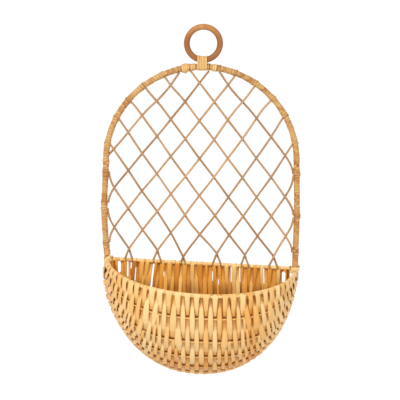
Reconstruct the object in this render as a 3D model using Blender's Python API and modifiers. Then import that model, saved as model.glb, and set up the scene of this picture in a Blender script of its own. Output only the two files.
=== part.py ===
"""Hanging wicker basket: a half-round woven basket on a tall arched rattan frame.

Metres, +Z up. The wall is behind the basket, towards +Y, and the basket bulges towards -Y.
The world origin is the hanging point, the top of the ring's hole. The frame's centre line lies
at x = -RING_SHIFT, so every piece built from the frame's centre line is moved there.
"""

from math import acos, atan2, cos, pi, sin, sqrt

import bmesh
import bpy
from mathutils import Vector

MM = 0.001

# Touching pieces
CLEARANCE = 0.4 * MM

# Hanging ring
RING_HOLE_RADIUS = 20.9 * MM
RING_TUBE_RADIUS = 4.6 * MM
RING_SHIFT = 3.3 * MM
RING_LIFT = 1.4 * MM
RING_STEPS = 32
RING_SIDES = 10

# Frame pole
ARCH_RADIUS = 148.0 * MM
SIDE_DROP = 163.5 * MM
EAR_HALF_WIDTH = 147.5 * MM
EAR_TILT_SHARE = -0.055
FOOT_TILT_SHARE = 0.25
FOOT_DROP = 164.0 * MM
POLE_RADIUS = 3.4 * MM
ARCH_STEPS = 30
SIDE_STEPS = 4
FOOT_STEPS = 30

# Cane wrap of the frame
WRAP_BORE_SLACK = 0.6 * MM
WRAP_THICKNESS = 0.75 * MM
WRAP_BUMP_SHARE = 1.2
WRAP_GAP = 0.4 * MM

# Basket
RIM_DEPTH = 135.0 * MM
RIM_DIP = 17.5 * MM
RIM_RADIUS = 2.5 * MM
RIM_STEPS = 30
FRONT_RIB_COUNT = 7
RIB_PLACE_SHARES = (0.0, 0.095, 0.19, 0.285, 0.41, 0.55, 0.69, 0.86, 1.0)
FOOT_POWER_SHARE = 2.1
BELLY_POWER_SHARE = 0.95
BELLY_PLACE_SHARE = 2.5
RIM_POWER_SHARE = 2.05
RIB_RADIUS = 1.8 * MM
RIB_END_RADIUS_SHARE = 0.45
RIB_STEPS = 26
CROSSBAR_RADIUS = 2.4 * MM
BACK_RIB_COUNT = 4
BACK_TOP_ROOM = 52.0 * MM
BACK_FOOT_ROOM = 12.0 * MM
BACK_RIB_RADIUS = 1.8 * MM
BACK_WAVE_SHARE = 1.1

# Split strands of the weave
STRAND_THICKNESS = 0.9 * MM
STRAND_SIDE_GAP = 0.6 * MM
FRONT_WEAVER_COUNT = 9
FRONT_PASS_COUNT = 7
FRONT_EAR_ANGLE = 8.0 * pi / 180
FRONT_LEAN_SHARE = 0.2
RIB_FIRST_PASS_COUNTS = (16, 8, 8, 3, 8, 3, 8)
ALL_RIBS_PASS_COUNT = 8
STEEP_SINE_SHARE = 0.75
AXIS_STEP_SHARE = 0.001
TURN_STEPS = 4
BACK_WEAVER_COUNT = 5
BACK_PASS_COUNT = 6
BACK_EAR_ROOM = 17.0 * MM
BACK_FOLD = 6.0 * MM

# Lattice
REED_RADIUS = 1.4 * MM
REED_COUNT = 9
LATTICE_PITCH_SHARE = 0.0775
LATTICE_ROWS_SHARE = 9.7
LATTICE_TOP_DROP = 25.0 * MM
LATTICE_SHIFT = -2.8 * MM
LATTICE_EDGE_LIFT = 20.0 * MM
LATTICE_TILT_SHARE = 1.6

# Bindings and lashings
CANE_RADIUS = 1.2 * MM
CANE_GAP = 0.6 * MM
BINDING_LOOP_COUNT = 4
BINDING_POINT_COUNT = 16
LASHING_LOOP_COUNT = 3
LASHING_POINT_COUNT = 12
LEFT_LASHING_PLACE = -23.0 * MM
RIGHT_LASHING_PLACE = 23.0 * MM

# Colours, roughness
STRAW = (0.86, 0.60, 0.27)
AMBER = (0.72, 0.40, 0.12)
TAN = (0.70, 0.43, 0.17)
REED_BROWN = (0.50, 0.28, 0.11)
RING_BROWN = (0.52, 0.20, 0.05)
CANE_PALE = (0.74, 0.47, 0.18)
CANE_ROUGHNESS = 0.5

# Places that follow from the sizes above
RING_RADIUS = RING_HOLE_RADIUS + RING_TUBE_RADIUS
RING_FOOT_Z = -RING_HOLE_RADIUS - RING_RADIUS
WRAP_BORE = POLE_RADIUS + WRAP_BORE_SLACK
WRAP_RADIUS = WRAP_BORE + WRAP_THICKNESS
POLE_TOP_Z = RING_FOOT_Z - RING_TUBE_RADIUS - RING_LIFT - WRAP_RADIUS
ARCH_Z = POLE_TOP_Z - ARCH_RADIUS
EAR_Z = ARCH_Z - SIDE_DROP
HALF_STRAND = STRAND_THICKNESS / 2
TURN_STEP_COS = cos(pi / TURN_STEPS / 2)
LATTICE_TOP_Z = POLE_TOP_Z - LATTICE_TOP_DROP
LATTICE_HALF_PITCH = LATTICE_PITCH_SHARE * (ARCH_RADIUS + EAR_HALF_WIDTH - 2 * WRAP_RADIUS)
LATTICE_ROW_DROP = (LATTICE_TOP_Z - EAR_Z) / LATTICE_ROWS_SHARE
BACK_HALF_WIDTH = EAR_HALF_WIDTH - BACK_EAR_ROOM
BACK_RIB_STEP = (FOOT_DROP - BACK_TOP_ROOM - BACK_FOOT_ROOM) / BACK_RIB_COUNT


def turn_radius(rod_radius):
    """Centre line of a strand that turns round a rod in TURN_STEPS straight pieces."""
    return (rod_radius + CLEARANCE + HALF_STRAND) / TURN_STEP_COS


def turn_outer(rod_radius):
    """Outermost reach of a strand turned round a rod."""
    return turn_radius(rod_radius) + HALF_STRAND / TURN_STEP_COS


def ear_z(x):
    """Height of the line from ear to ear, which slopes a little."""
    return EAR_Z + EAR_TILT_SHARE * x


def side_half_width(share):
    """Half width of the frame, from the arch's foot (share 0) to the ear (share 1)."""
    ease = share * share * (3 - 2 * share)
    return ARCH_RADIUS + (EAR_HALF_WIDTH - ARCH_RADIUS) * ease


def arch_point(angle):
    """Point of the pole's centre line on the arch, angle 0 at its top."""
    return Vector((ARCH_RADIUS * sin(angle), 0, ARCH_Z + ARCH_RADIUS * cos(angle)))


def side_point(side, drop):
    """Point of the pole's centre line on a straight side, side -1 left and 1 right."""
    return Vector((side * side_half_width(min(1, drop / SIDE_DROP)), 0, ARCH_Z - drop))


def side_length(side):
    """Length of a straight side, from the arch down to the foot's half round."""
    return SIDE_DROP - FOOT_TILT_SHARE * EAR_TILT_SHARE * side * EAR_HALF_WIDTH


def ear_drop(side):
    """Drop from the arch's foot to the ear, where crossbar and rim are tied."""
    return ARCH_Z - ear_z(side * EAR_HALF_WIDTH)


def wall_tilt(phi):
    """Sideways slope of the wall: that of the ear line at the rim, and less at the foot hoop."""
    return EAR_TILT_SHARE * (FOOT_TILT_SHARE + (1 - FOOT_TILT_SHARE) * sin(phi))


def wall_power(phi):
    """Power of the wall's curve from ear to ear: 2 is an ellipse, more is a fuller belly."""
    share = max(0, phi / (pi / 2))
    ends = FOOT_POWER_SHARE + (RIM_POWER_SHARE - FOOT_POWER_SHARE) * share
    return ends + BELLY_POWER_SHARE * sin(pi * share ** BELLY_PLACE_SHARE)


def fullness(theta, power):
    """Share of its full depth that a rib has reached at theta."""
    return sqrt(max(0, 1 - abs(cos(theta)) ** power))


def wall_point(theta, phi):
    """Point of the basket's front wall: theta runs ear to ear, phi from the foot hoop to the rim."""
    x = -EAR_HALF_WIDTH * cos(theta)
    full = fullness(theta, wall_power(phi))
    drop = full * (FOOT_DROP * cos(phi) + RIM_DIP * sin(phi))
    return Vector((x, -RIM_DEPTH * full * sin(phi), EAR_Z + wall_tilt(phi) * x - drop))


def wall_axes(theta, phi):
    """Unit vectors on the front wall: along the ribs, up the wall, and out of the basket."""
    along = wall_point(theta + AXIS_STEP_SHARE, phi) - wall_point(theta - AXIS_STEP_SHARE, phi)
    up = wall_point(theta, phi + AXIS_STEP_SHARE) - wall_point(theta, phi - AXIS_STEP_SHARE)
    out = along.cross(up)
    return along.normalized(), up.normalized(), out.normalized()


def rib_phi(index):
    """Place of a rib on the wall: 0 is the foot hoop, FRONT_RIB_COUNT + 1 is the rim."""
    return RIB_PLACE_SHARES[index] * pi / 2


def rib_radius(theta):
    """Radius of a front rib, thinner towards the ears."""
    share = RIB_END_RADIUS_SHARE + (1 - RIB_END_RADIUS_SHARE) * sin(theta)
    return RIB_RADIUS * share


def material(name, colour):
    """Principled material with one plain colour."""
    made = bpy.data.materials.new(name)
    made.use_nodes = True
    shader = made.node_tree.nodes["Principled BSDF"]
    shader.inputs["Base Color"].default_value = (*colour, 1)
    shader.inputs["Roughness"].default_value = CANE_ROUGHNESS
    shader.inputs["Metallic"].default_value = 0
    return made


def finish(obj, colour, x=-RING_SHIFT):
    """Give the object its own material, its place and the part's collection."""
    obj.data.materials.append(material(obj.name, colour))
    obj.location.x = x
    bpy.data.collections["hanging_wicker_basket"].objects.link(obj)
    return obj


def rod(name, points, radii, colour, resolution=2, cyclic=False, caps=True):
    """Round rod along points, with a radius at each point."""
    curve = bpy.data.curves.new(name, "CURVE")
    curve.dimensions = "3D"
    curve.bevel_depth = 1
    curve.bevel_resolution = resolution
    curve.use_fill_caps = caps
    spline = curve.splines.new("POLY")
    spline.points.add(len(points) - 1)
    for knot, point, radius in zip(spline.points, points, radii):
        knot.co = (*point, 1)
        knot.radius = radius
    spline.use_cyclic_u = cyclic
    return finish(bpy.data.objects.new(name, curve), colour)


def strand(name, rows, bridges, colour):
    """Flat strand: an open strip of paired edge points, thickened evenly to both sides."""
    mesh = bpy.data.meshes.new(name)
    shape = bmesh.new()
    pairs = [[shape.verts.new(point) if point else None for point in row] for row in rows]
    for here, there in zip(pairs, pairs[1:]):
        if None not in here + there:
            shape.faces.new((here[0], here[1], there[1], there[0]))
    for a, b, c, d in bridges:
        shape.faces.new((pairs[a[0]][a[1]], pairs[b[0]][b[1]], pairs[c[0]][c[1]], pairs[d[0]][d[1]]))
    bmesh.ops.recalc_face_normals(shape, faces=shape.faces)
    shape.to_mesh(mesh)
    shape.free()
    obj = bpy.data.objects.new(name, mesh)
    thick = obj.modifiers.new("thickness", "SOLIDIFY")
    thick.thickness = STRAND_THICKNESS
    thick.offset = 0
    thick.use_even_offset = True
    return finish(obj, colour)


def least_gap_to_itself(points, loop_points, radius):
    """Least free distance between a winding's stretches half a loop or more apart."""
    least = min(
        (a - b).length
        for i, a in enumerate(points)
        for b in points[i + loop_points // 2:]
    )
    return least - 2 * radius


def winding(name, points, loop_points, colour):
    """Winding of round cane along points, with its least gap to itself printed."""
    gap = least_gap_to_itself(points, loop_points, CANE_RADIUS)
    print(f"{name}: least gap to itself {gap / MM:.2f} mm")
    return rod(name, points, [CANE_RADIUS] * len(points), colour, resolution=1)


def build_ring():
    """Plain round ring, its origin at its foot, where it turns in the binding."""
    bpy.ops.mesh.primitive_torus_add(
        major_radius=RING_RADIUS, minor_radius=RING_TUBE_RADIUS,
        major_segments=RING_STEPS, minor_segments=RING_SIDES,
        location=(0, 0, 0), rotation=(pi / 2, 0, 0))
    ring = bpy.context.object
    ring.name = "hanging_ring"
    bpy.ops.object.transform_apply(location=False, rotation=True, scale=False)
    for vert in ring.data.vertices:
        vert.co.z += RING_RADIUS
    ring.location.z = RING_FOOT_Z
    for owner in list(ring.users_collection):
        owner.objects.unlink(ring)
    finish(ring, RING_BROWN, x=0)


def pole_points():
    """Centre line of the whole frame hoop, clockwise from the top."""
    points = [arch_point(pi * (i / ARCH_STEPS - 0.5)) for i in range(ARCH_STEPS + 1)]
    points += [side_point(1, side_length(1) * i / SIDE_STEPS) for i in range(1, SIDE_STEPS + 1)]
    points += [wall_point(pi * (1 - i / FOOT_STEPS), 0) for i in range(1, FOOT_STEPS)]
    points += [side_point(-1, side_length(-1) * (1 - i / SIDE_STEPS)) for i in range(SIDE_STEPS)]
    return points


def build_pole():
    points = pole_points()
    rod("frame_pole", points, [POLE_RADIUS] * len(points), TAN, cyclic=True)


def reed_line(way, index):
    """Place of a reed: x = place + way * row * half pitch, row 0 at the lattice's top."""
    place = (2 - 2 * index) if way > 0 else (2 * index - 2)
    return LATTICE_SHIFT + place * LATTICE_HALF_PITCH


def reed_point(way, index, row):
    """Point of a reed's centre line at a row, bowed over or under at each whole row."""
    x = reed_line(way, index) + way * row * LATTICE_HALF_PITCH
    depth = row / LATTICE_ROWS_SHARE
    lift = LATTICE_EDGE_LIFT * (x / ARCH_RADIUS) ** 2 * (1 - depth)
    tilt = EAR_TILT_SHARE * x * min(1, LATTICE_TILT_SHARE * max(0, depth))
    return Vector((x, 0, LATTICE_TOP_Z - row * LATTICE_ROW_DROP + lift + tilt))


def frame_clearance(point):
    """Distance from the pole's centre line, inside the frame, and the frame's inward normal."""
    if point.z > ARCH_Z:
        arm = Vector((point.x, 0, point.z - ARCH_Z))
        return ARCH_RADIUS - arm.length, -arm.normalized()
    share = min(1, (ARCH_Z - point.z) / SIDE_DROP)
    side = 1 if point.x > 0 else -1
    return side_half_width(share) - abs(point.x), Vector((-side, 0, 0))


def lashing_stack(loops):
    """Length along the pole that a winding of so many loops takes."""
    return loops * (2 * CANE_RADIUS + CANE_GAP) + 2 * CANE_RADIUS


def near_lashing(angle, margin):
    """Whether a place on the arch lies under the ring's binding or a top lashing."""
    stacks = (
        (LEFT_LASHING_PLACE, LASHING_LOOP_COUNT),
        (RING_SHIFT, BINDING_LOOP_COUNT),
        (RIGHT_LASHING_PLACE, LASHING_LOOP_COUNT),
    )
    along = angle * ARCH_RADIUS
    return any(abs(along - place) < lashing_stack(loops) / 2 + margin for place, loops in stacks)


def reed_fits(way, index, row):
    """Whether a reed's end at this row stays clear of the frame's wrap and the crossbar's turns."""
    point = reed_point(way, index, row)
    run = Vector((way * LATTICE_HALF_PITCH, 0, -LATTICE_ROW_DROP)).normalized()
    room, normal = frame_clearance(point)
    cap = REED_RADIUS * sqrt(max(0, 1 - run.dot(normal) ** 2))
    low = turn_outer(CROSSBAR_RADIUS) + CLEARANCE + REED_RADIUS * abs(run.x)
    above_bar = point.z - ear_z(point.x) >= low
    reach = WRAP_BORE * WRAP_BUMP_SHARE + WRAP_THICKNESS
    if point.z > ARCH_Z and near_lashing(atan2(point.x, point.z - ARCH_Z), REED_RADIUS):
        reach = WRAP_RADIUS / TURN_STEP_COS + CLEARANCE + 2 * CANE_RADIUS
    return room >= reach + CLEARANCE + cap and above_bar


def reed_rows(way, index):
    """First and last row that a reed reaches, found by halving."""
    rows = range(-4, 4 * REED_COUNT)
    inside = [row / 2 for row in rows if reed_fits(way, index, row / 2)]
    ends = []
    for start, step in ((inside[0], -0.5), (inside[-1], 0.5)):
        good, bad = start, start + step
        for _ in range(12):
            middle = (good + bad) / 2
            good, bad = (middle, bad) if reed_fits(way, index, middle) else (good, middle)
        ends.append(good)
    return ends


def reed_bow(row):
    """Bow of a right-leaning reed off the lattice plane: over at even rows, under at odd ones."""
    whole = int(row // 1)
    share = row - whole
    here = -1 if whole % 2 == 0 else 1
    return (REED_RADIUS + CLEARANCE / 2) * here * (1 - 2 * share)


def build_reeds():
    for way, label in ((1, "right"), (-1, "left")):
        for index in range(REED_COUNT):
            first, last = reed_rows(way, index)
            rows = [first] + [r for r in range(-REED_COUNT, 2 * REED_COUNT) if first < r < last] + [last]
            points = [reed_point(way, index, row) for row in rows]
            for point, row in zip(points, rows):
                point.y = way * reed_bow(row)
            name = f"lattice_reed_{label}_{index + 1}"
            rod(name, points, [REED_RADIUS] * len(points), REED_BROWN, resolution=1)


def bump_places():
    """Reed ends on the frame: angles on the arch, and shares of each straight side."""
    arch, sides = [], {-1: [], 1: []}
    for way in (1, -1):
        for index in range(REED_COUNT):
            for row in reed_rows(way, index):
                point = reed_point(way, index, row)
                room, _ = frame_clearance(point)
                if room > 2 * WRAP_RADIUS:
                    continue
                if point.z > ARCH_Z:
                    arch.append(atan2(point.x, point.z - ARCH_Z))
                else:
                    sides[1 if point.x > 0 else -1].append(ARCH_Z - point.z)
    return arch, sides


def wrap_stations(first, last, steps, bumps, apart):
    """Even stations from first to last, with a station at each bump and none close to it."""
    even = [first + (last - first) * i / steps for i in range(steps + 1)]
    kept = [bump for bump in sorted(bumps) if first + apart < bump < last - apart]
    bumps = [b for i, b in enumerate(kept) if i == 0 or b - kept[i - 1] > apart]
    plain = [e for e in even if all(abs(e - bump) > apart / 2 for bump in bumps)]
    marked = [(e, False) for e in plain] + [(bump, True) for bump in bumps]
    return sorted(marked)


def wrap(name, points, bumpy):
    """Sleeve of cane round the pole, its ends open to the pole."""
    radii = [WRAP_BORE * (WRAP_BUMP_SHARE if bump else 1) for bump in bumpy]
    sleeve = rod(name, points, radii, TAN, caps=False)
    thick = sleeve.modifiers.new("thickness", "SOLIDIFY")
    thick.thickness = WRAP_THICKNESS
    thick.offset = 1
    thick.use_even_offset = True


def ear_lashing_start():
    """Height above the ear at which the ear's lashing starts, clear of crossbar and rim."""
    return max(CROSSBAR_RADIUS, RIM_RADIUS) + CLEARANCE + CANE_RADIUS


def build_wraps():
    arch_bumps, side_bumps = bump_places()
    half_gap = WRAP_GAP / 2 / ARCH_RADIUS
    edge = pi / 2 - half_gap
    bumps = [b for b in arch_bumps if not near_lashing(b, 4 * WRAP_RADIUS)]
    apart = 4 * WRAP_RADIUS / ARCH_RADIUS
    marked = wrap_stations(-edge, edge, ARCH_STEPS, bumps, apart)
    wrap("frame_wrap_arch", [arch_point(a) for a, _ in marked], [b for _, b in marked])
    for side, label in ((-1, "left"), (1, "right")):
        last = ear_drop(side) - ear_lashing_start() - lashing_stack(LASHING_LOOP_COUNT) - CLEARANCE
        apart = 4 * WRAP_RADIUS
        marked = wrap_stations(WRAP_GAP / 2, last, 2 * SIDE_STEPS, side_bumps[side], apart)
        wrap(f"frame_wrap_{label}", [side_point(side, s) for s, _ in marked], [b for _, b in marked])


def stadium_point(turn, upper, lower, upper_radius, lower_radius):
    """Point of a loop round two rods, one above the other, in the plane across them."""
    angle = 2 * pi * turn
    high = cos(angle) >= 0
    radius = upper_radius if high else lower_radius
    centre = upper if high else lower
    return Vector((0, radius * sin(angle), centre + radius * cos(angle)))


def build_ring_binding():
    """Cane wound round the ring's foot and the top of the arch, loose enough for the ring to turn."""
    pitch = 2 * CANE_RADIUS + CANE_GAP
    half = pitch * BINDING_LOOP_COUNT / 2
    reach = half + CANE_RADIUS
    arc_rise = RING_RADIUS - sqrt(RING_RADIUS ** 2 - reach ** 2)
    upper_radius = RING_TUBE_RADIUS + arc_rise + CLEARANCE + CANE_RADIUS / TURN_STEP_COS
    lower_radius = WRAP_RADIUS / TURN_STEP_COS + CLEARANCE + CANE_RADIUS
    points = []
    count = BINDING_LOOP_COUNT * BINDING_POINT_COUNT
    for i in range(count + 1):
        turn = i / BINDING_POINT_COUNT + 0.5
        point = stadium_point(turn, RING_FOOT_Z, POLE_TOP_Z, upper_radius, lower_radius)
        point.x = RING_SHIFT - half + pitch * i / BINDING_POINT_COUNT
        points.append(point)
    winding("ring_binding", points, BINDING_POINT_COUNT, CANE_PALE)


def build_top_lashing(name, place):
    """Small cane lashing round the arch beside the ring."""
    pitch = 2 * CANE_RADIUS + CANE_GAP
    radius = WRAP_RADIUS / TURN_STEP_COS + CLEARANCE + CANE_RADIUS
    points = []
    for i in range(LASHING_LOOP_COUNT * LASHING_POINT_COUNT + 1):
        along = place + pitch * (i / LASHING_POINT_COUNT - LASHING_LOOP_COUNT / 2)
        angle = along / ARCH_RADIUS
        turn = 2 * pi * i / LASHING_POINT_COUNT
        outward = Vector((sin(angle), 0, cos(angle)))
        points.append(arch_point(angle) + outward * radius * cos(turn) + Vector((0, radius * sin(turn), 0)))
    winding(name, points, LASHING_POINT_COUNT, CANE_PALE)


def build_ear_lashing(name, side):
    """Cane wound round the pole just above the ear."""
    pitch = 2 * CANE_RADIUS + CANE_GAP
    radius = POLE_RADIUS / TURN_STEP_COS + CLEARANCE + CANE_RADIUS
    points = []
    for i in range(LASHING_LOOP_COUNT * LASHING_POINT_COUNT + 1):
        rise = ear_lashing_start() + pitch * i / LASHING_POINT_COUNT
        turn = 2 * pi * i / LASHING_POINT_COUNT
        centre = side_point(side, ear_drop(side) - rise)
        points.append(centre + Vector((radius * cos(turn), radius * sin(turn), 0)))
    winding(name, points, LASHING_POINT_COUNT, CANE_PALE)


def build_rim():
    """Front rim from ear to ear, each end 0.4 mm in front of the pole."""
    full = (POLE_RADIUS + CLEARANCE) / RIM_DEPTH
    start = acos((1 - full * full) ** (1 / wall_power(pi / 2)))
    angles = [start + (pi - 2 * start) * i / RIM_STEPS for i in range(RIM_STEPS + 1)]
    points = [wall_point(theta, pi / 2) for theta in angles]
    rod("front_rim", points, [RIM_RADIUS] * len(points), STRAW)


def build_front_ribs():
    """Bent ribs: two long ones start near the ears, the others are added further in."""
    for index in range(1, FRONT_RIB_COUNT + 1):
        start = strand_theta(FRONT_EAR_ANGLE + passes_before_rib(index) * front_pitch(), rib_phi(index))
        span = pi - 2 * start
        angles = [start + span * i / RIB_STEPS for i in range(RIB_STEPS + 1)]
        points = [wall_point(theta, rib_phi(index)) for theta in angles]
        radii = [rib_radius(theta) for theta in angles]
        rod(f"front_rib_{index}", points, radii, STRAW, resolution=1)


def build_crossbar():
    """Straight bar from ear to ear, between the two sides of the pole."""
    reach = EAR_HALF_WIDTH - POLE_RADIUS - CLEARANCE
    ends = [Vector((x, 0, ear_z(x))) for x in (-reach, reach)]
    rod("back_crossbar", ends, [CROSSBAR_RADIUS] * 2, STRAW)


def foot_edge(x, inset):
    """Height of the foot hoop's inner edge at x, a given inset from its centre line."""
    share = min(1, abs(x) / (EAR_HALF_WIDTH - inset))
    return EAR_Z + wall_tilt(0) * x - (FOOT_DROP - inset) * sqrt(1 - share ** wall_power(0))


def back_rib_z(x, index):
    """Height of a back rib at x, parallel to the crossbar."""
    return ear_z(x) - BACK_TOP_ROOM - (index - 1) * BACK_RIB_STEP


def back_rib_end(side, index, inset):
    """Where a back rib meets the inner edge of the foot hoop's strands, found by halving."""
    inner, outer = 0, side * (EAR_HALF_WIDTH - inset)
    for _ in range(20):
        middle = (inner + outer) / 2
        clear = back_rib_z(middle, index) - BACK_RIB_RADIUS > foot_edge(middle, inset)
        inner, outer = (middle, outer) if clear else (inner, middle)
    return inner


def build_back_ribs():
    """Straight ribs across the back panel, each end at the strands round the foot hoop."""
    inset = turn_outer(POLE_RADIUS) + CLEARANCE + BACK_RIB_RADIUS / 2
    for index in range(1, BACK_RIB_COUNT + 1):
        places = [back_rib_end(side, index, inset) for side in (-1, 1)]
        ends = [Vector((x, 0, back_rib_z(x, index))) for x in places]
        rod(f"back_rib_{index}", ends, [BACK_RIB_RADIUS] * 2, AMBER, resolution=1)


def front_pitch():
    return (pi - 2 * FRONT_EAR_ANGLE) / (FRONT_WEAVER_COUNT * FRONT_PASS_COUNT)


def passes_before_rib(index):
    """How many passes from the ear a front rib begins."""
    return RIB_FIRST_PASS_COUNTS[index - 1]


def strand_theta(start, phi):
    """Place along the wall of a strand that leans outward from the rim down to the hoop."""
    twice = sin(2 * start)
    lean = FRONT_LEAN_SHARE * twice * sqrt(abs(twice))
    return start - lean * (1 - phi / (pi / 2))


def strand_half_width(start, phi):
    """Half of the strand's width at a place, from the room between its neighbours."""
    half = front_pitch() / 2
    before = wall_point(strand_theta(start - half, phi), phi)
    after = wall_point(strand_theta(start + half, phi), phi)
    return ((after - before).length - STRAND_SIDE_GAP) / 2


def strand_row(start, phi, angle, offset):
    """Edge points of a strand beside a rod: angle 0 outside the wall, half a turn inside."""
    theta = strand_theta(start, phi)
    along, _, out = wall_axes(theta, phi)
    away = out.cross(along) * (1 if phi > pi / 4 else -1)
    centre = wall_point(theta, phi) + out * offset * cos(angle) + away * offset * sin(angle)
    half = along * strand_half_width(start, phi)
    return [centre - half, centre + half]


def crossing_offset(start, index, step):
    """Distance of a strand's centre from a rib's centre, allowing for the strand's slope."""
    theta = strand_theta(start, rib_phi(index))
    flat = rib_radius(theta) + CLEARANCE + HALF_STRAND
    here = wall_point(theta, rib_phi(index))
    run = min((wall_point(theta, rib_phi(index + way)) - here).length for way in (-step, step))
    slope = min(STEEP_SINE_SHARE, (flat + turn_radius(POLE_RADIUS)) / run)
    return flat / sqrt(1 - slope * slope)


def lead_row(start, phi, angle, rod_radius):
    """Row that carries a strand straight past a rod before it slopes to the next one."""
    row = strand_row(start, phi, angle, turn_radius(rod_radius))
    _, up, _ = wall_axes(strand_theta(start, phi), phi)
    step = up * rod_radius * (-1 if phi > pi / 4 else 1)
    return [point + step for point in row]


def pass_rows(number, start):
    """Rows of one pass, from the foot hoop up to the rim, over and under the ribs."""
    angle = 0 if number % 2 == 0 else pi
    steep = sin(strand_theta(start, 0)) < STEEP_SINE_SHARE
    from_ear = min(number, FRONT_WEAVER_COUNT * FRONT_PASS_COUNT - 1 - number)
    rows = [strand_row(start, 0, angle, turn_radius(POLE_RADIUS))]
    if steep:
        rows.append(lead_row(start, 0, angle, POLE_RADIUS))
    step = 1 if from_ear >= ALL_RIBS_PASS_COUNT else 2
    side = angle
    for index in range(step, FRONT_RIB_COUNT + 1, step):
        side = pi - side
        if from_ear >= passes_before_rib(index):
            rows.append(strand_row(start, rib_phi(index), side, crossing_offset(start, index, step)))
        else:
            rows.append(strand_row(start, rib_phi(index), side, 0))
    if steep:
        rows.append(lead_row(start, pi / 2, angle, RIM_RADIUS))
    rows.append(strand_row(start, pi / 2, angle, turn_radius(RIM_RADIUS)))
    return rows


def turn_rows(start, phi, rod_radius, first_angle):
    """Rows between two passes, round the rim or the foot hoop, half a turn and one pitch on."""
    rows = []
    for i in range(1, TURN_STEPS):
        share = i / TURN_STEPS
        angle = first_angle + (pi - 2 * first_angle) * share
        rows.append(strand_row(start + front_pitch() * share, phi, angle, turn_radius(rod_radius)))
    return rows


def build_front_weavers():
    for weaver in range(FRONT_WEAVER_COUNT):
        rows = []
        for step in range(FRONT_PASS_COUNT):
            number = weaver * FRONT_PASS_COUNT + step
            start = FRONT_EAR_ANGLE + (number + 0.5) * front_pitch()
            climbing = number % 2 == 0
            one_pass = pass_rows(number, start)
            rows += one_pass if climbing else one_pass[::-1]
            if step == FRONT_PASS_COUNT - 1:
                continue
            if climbing:
                rows += turn_rows(start, pi / 2, RIM_RADIUS, 0)
            else:
                rows += turn_rows(start, 0, POLE_RADIUS, pi)
        strand(f"front_weaver_{weaver + 1}", rows, [], STRAW)


def back_pitch():
    return 2 * BACK_HALF_WIDTH / (BACK_WEAVER_COUNT * BACK_PASS_COUNT)


def leg_foot(places):
    """Height of the lower end of one or two back strands, clear of the foot hoop and the ribs."""
    half = (back_pitch() - STRAND_SIDE_GAP) / 2
    inset = turn_outer(POLE_RADIUS) + 2 * CLEARANCE
    corners = [place + side * half for place in places for side in (-1, 1)]
    foot = max(foot_edge(x, inset) - EAR_TILT_SHARE * x for x in corners)
    for index in range(1, BACK_RIB_COUNT + 1):
        rib = back_rib_z(0, index)
        reach = BACK_RIB_RADIUS + 2 * CLEARANCE
        if rib - reach - 2 * BACK_FOLD < foot < rib + reach:
            foot = rib + reach
    return foot


def leg_rows(number, place, foot):
    """Rows of one back strand from its foot up to the crossbar, over and under the back ribs."""
    half = (back_pitch() - STRAND_SIDE_GAP) / 2
    tilt = EAR_TILT_SHARE
    behind = 1 if number % 2 == 0 else -1
    heights = [(foot, 0), (foot + BACK_FOLD, 0)]
    offset = BACK_RIB_RADIUS + CLEARANCE + BACK_WAVE_SHARE * HALF_STRAND
    for index in range(BACK_RIB_COUNT, 0, -1):
        if back_rib_z(0, index) > foot:
            side = behind if index % 2 == 0 else -behind
            heights.append((back_rib_z(0, index), side * offset))
    heights.append((ear_z(0), behind * turn_radius(CROSSBAR_RADIUS)))
    return [[Vector((place + s * half, y, z + tilt * (place + s * half))) for s in (-1, 1)]
            for z, y in heights]


def top_turn_rows(place):
    """Rows from behind the crossbar, over it, to its front, and one pitch along."""
    half = (back_pitch() - STRAND_SIDE_GAP) / 2
    radius = turn_radius(CROSSBAR_RADIUS)
    rows = []
    for i in range(1, TURN_STEPS):
        share = i / TURN_STEPS
        x = place + back_pitch() * share
        y = radius * cos(pi * share)
        z = ear_z(0) + radius * sin(pi * share)
        rows.append([Vector((x + s * half, y, z + EAR_TILT_SHARE * (x + s * half))) for s in (-1, 1)])
    return rows


def build_back_weavers():
    for weaver in range(BACK_WEAVER_COUNT):
        rows, bridges = [], []
        numbers = [weaver * BACK_PASS_COUNT + step for step in range(BACK_PASS_COUNT)]
        places = [-BACK_HALF_WIDTH + (n + 0.5) * back_pitch() for n in numbers]
        for step in range(0, BACK_PASS_COUNT, 2):
            up_place, down_place = places[step], places[step + 1]
            up_foot = leg_foot(places[max(0, step - 1):step + 1])
            down_foot = leg_foot(places[step + 1:step + 3])
            first = len(rows)
            rows += leg_rows(numbers[step], up_place, up_foot)
            rows += top_turn_rows(up_place)
            rows += leg_rows(numbers[step + 1], down_place, down_foot)[::-1]
            last = len(rows) - 1
            if step + 2 < BACK_PASS_COUNT:
                rows.append([None, None])
                bridges.append(((last - 1, 1), (last, 1), (last + 2, 0), (last + 3, 0)))
        strand(f"back_weaver_{weaver + 1}", rows, bridges, AMBER)


def main():
    for obj in list(bpy.data.objects):
        bpy.data.objects.remove(obj, do_unlink=True)
    collection = bpy.data.collections.new("hanging_wicker_basket")
    bpy.context.scene.collection.children.link(collection)
    build_ring()
    build_pole()
    build_wraps()
    build_ring_binding()
    build_top_lashing("top_lashing_left", LEFT_LASHING_PLACE)
    build_top_lashing("top_lashing_right", RIGHT_LASHING_PLACE)
    build_ear_lashing("ear_lashing_left", -1)
    build_ear_lashing("ear_lashing_right", 1)
    build_reeds()
    build_crossbar()
    build_rim()
    build_front_ribs()
    build_back_ribs()
    build_front_weavers()
    build_back_weavers()


main()
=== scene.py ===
"""Looks of the hanging wicker basket: woven strands, lattice reeds, cane wraps, ring and their finish.

Metres, in the frame's own axes: +X right, +Y towards the wall, +Z up, origin at the hanging point.
"""

from math import cos, pi, sin, sqrt

import bpy
import numpy as np
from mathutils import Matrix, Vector
from numpy.linalg import norm


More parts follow.
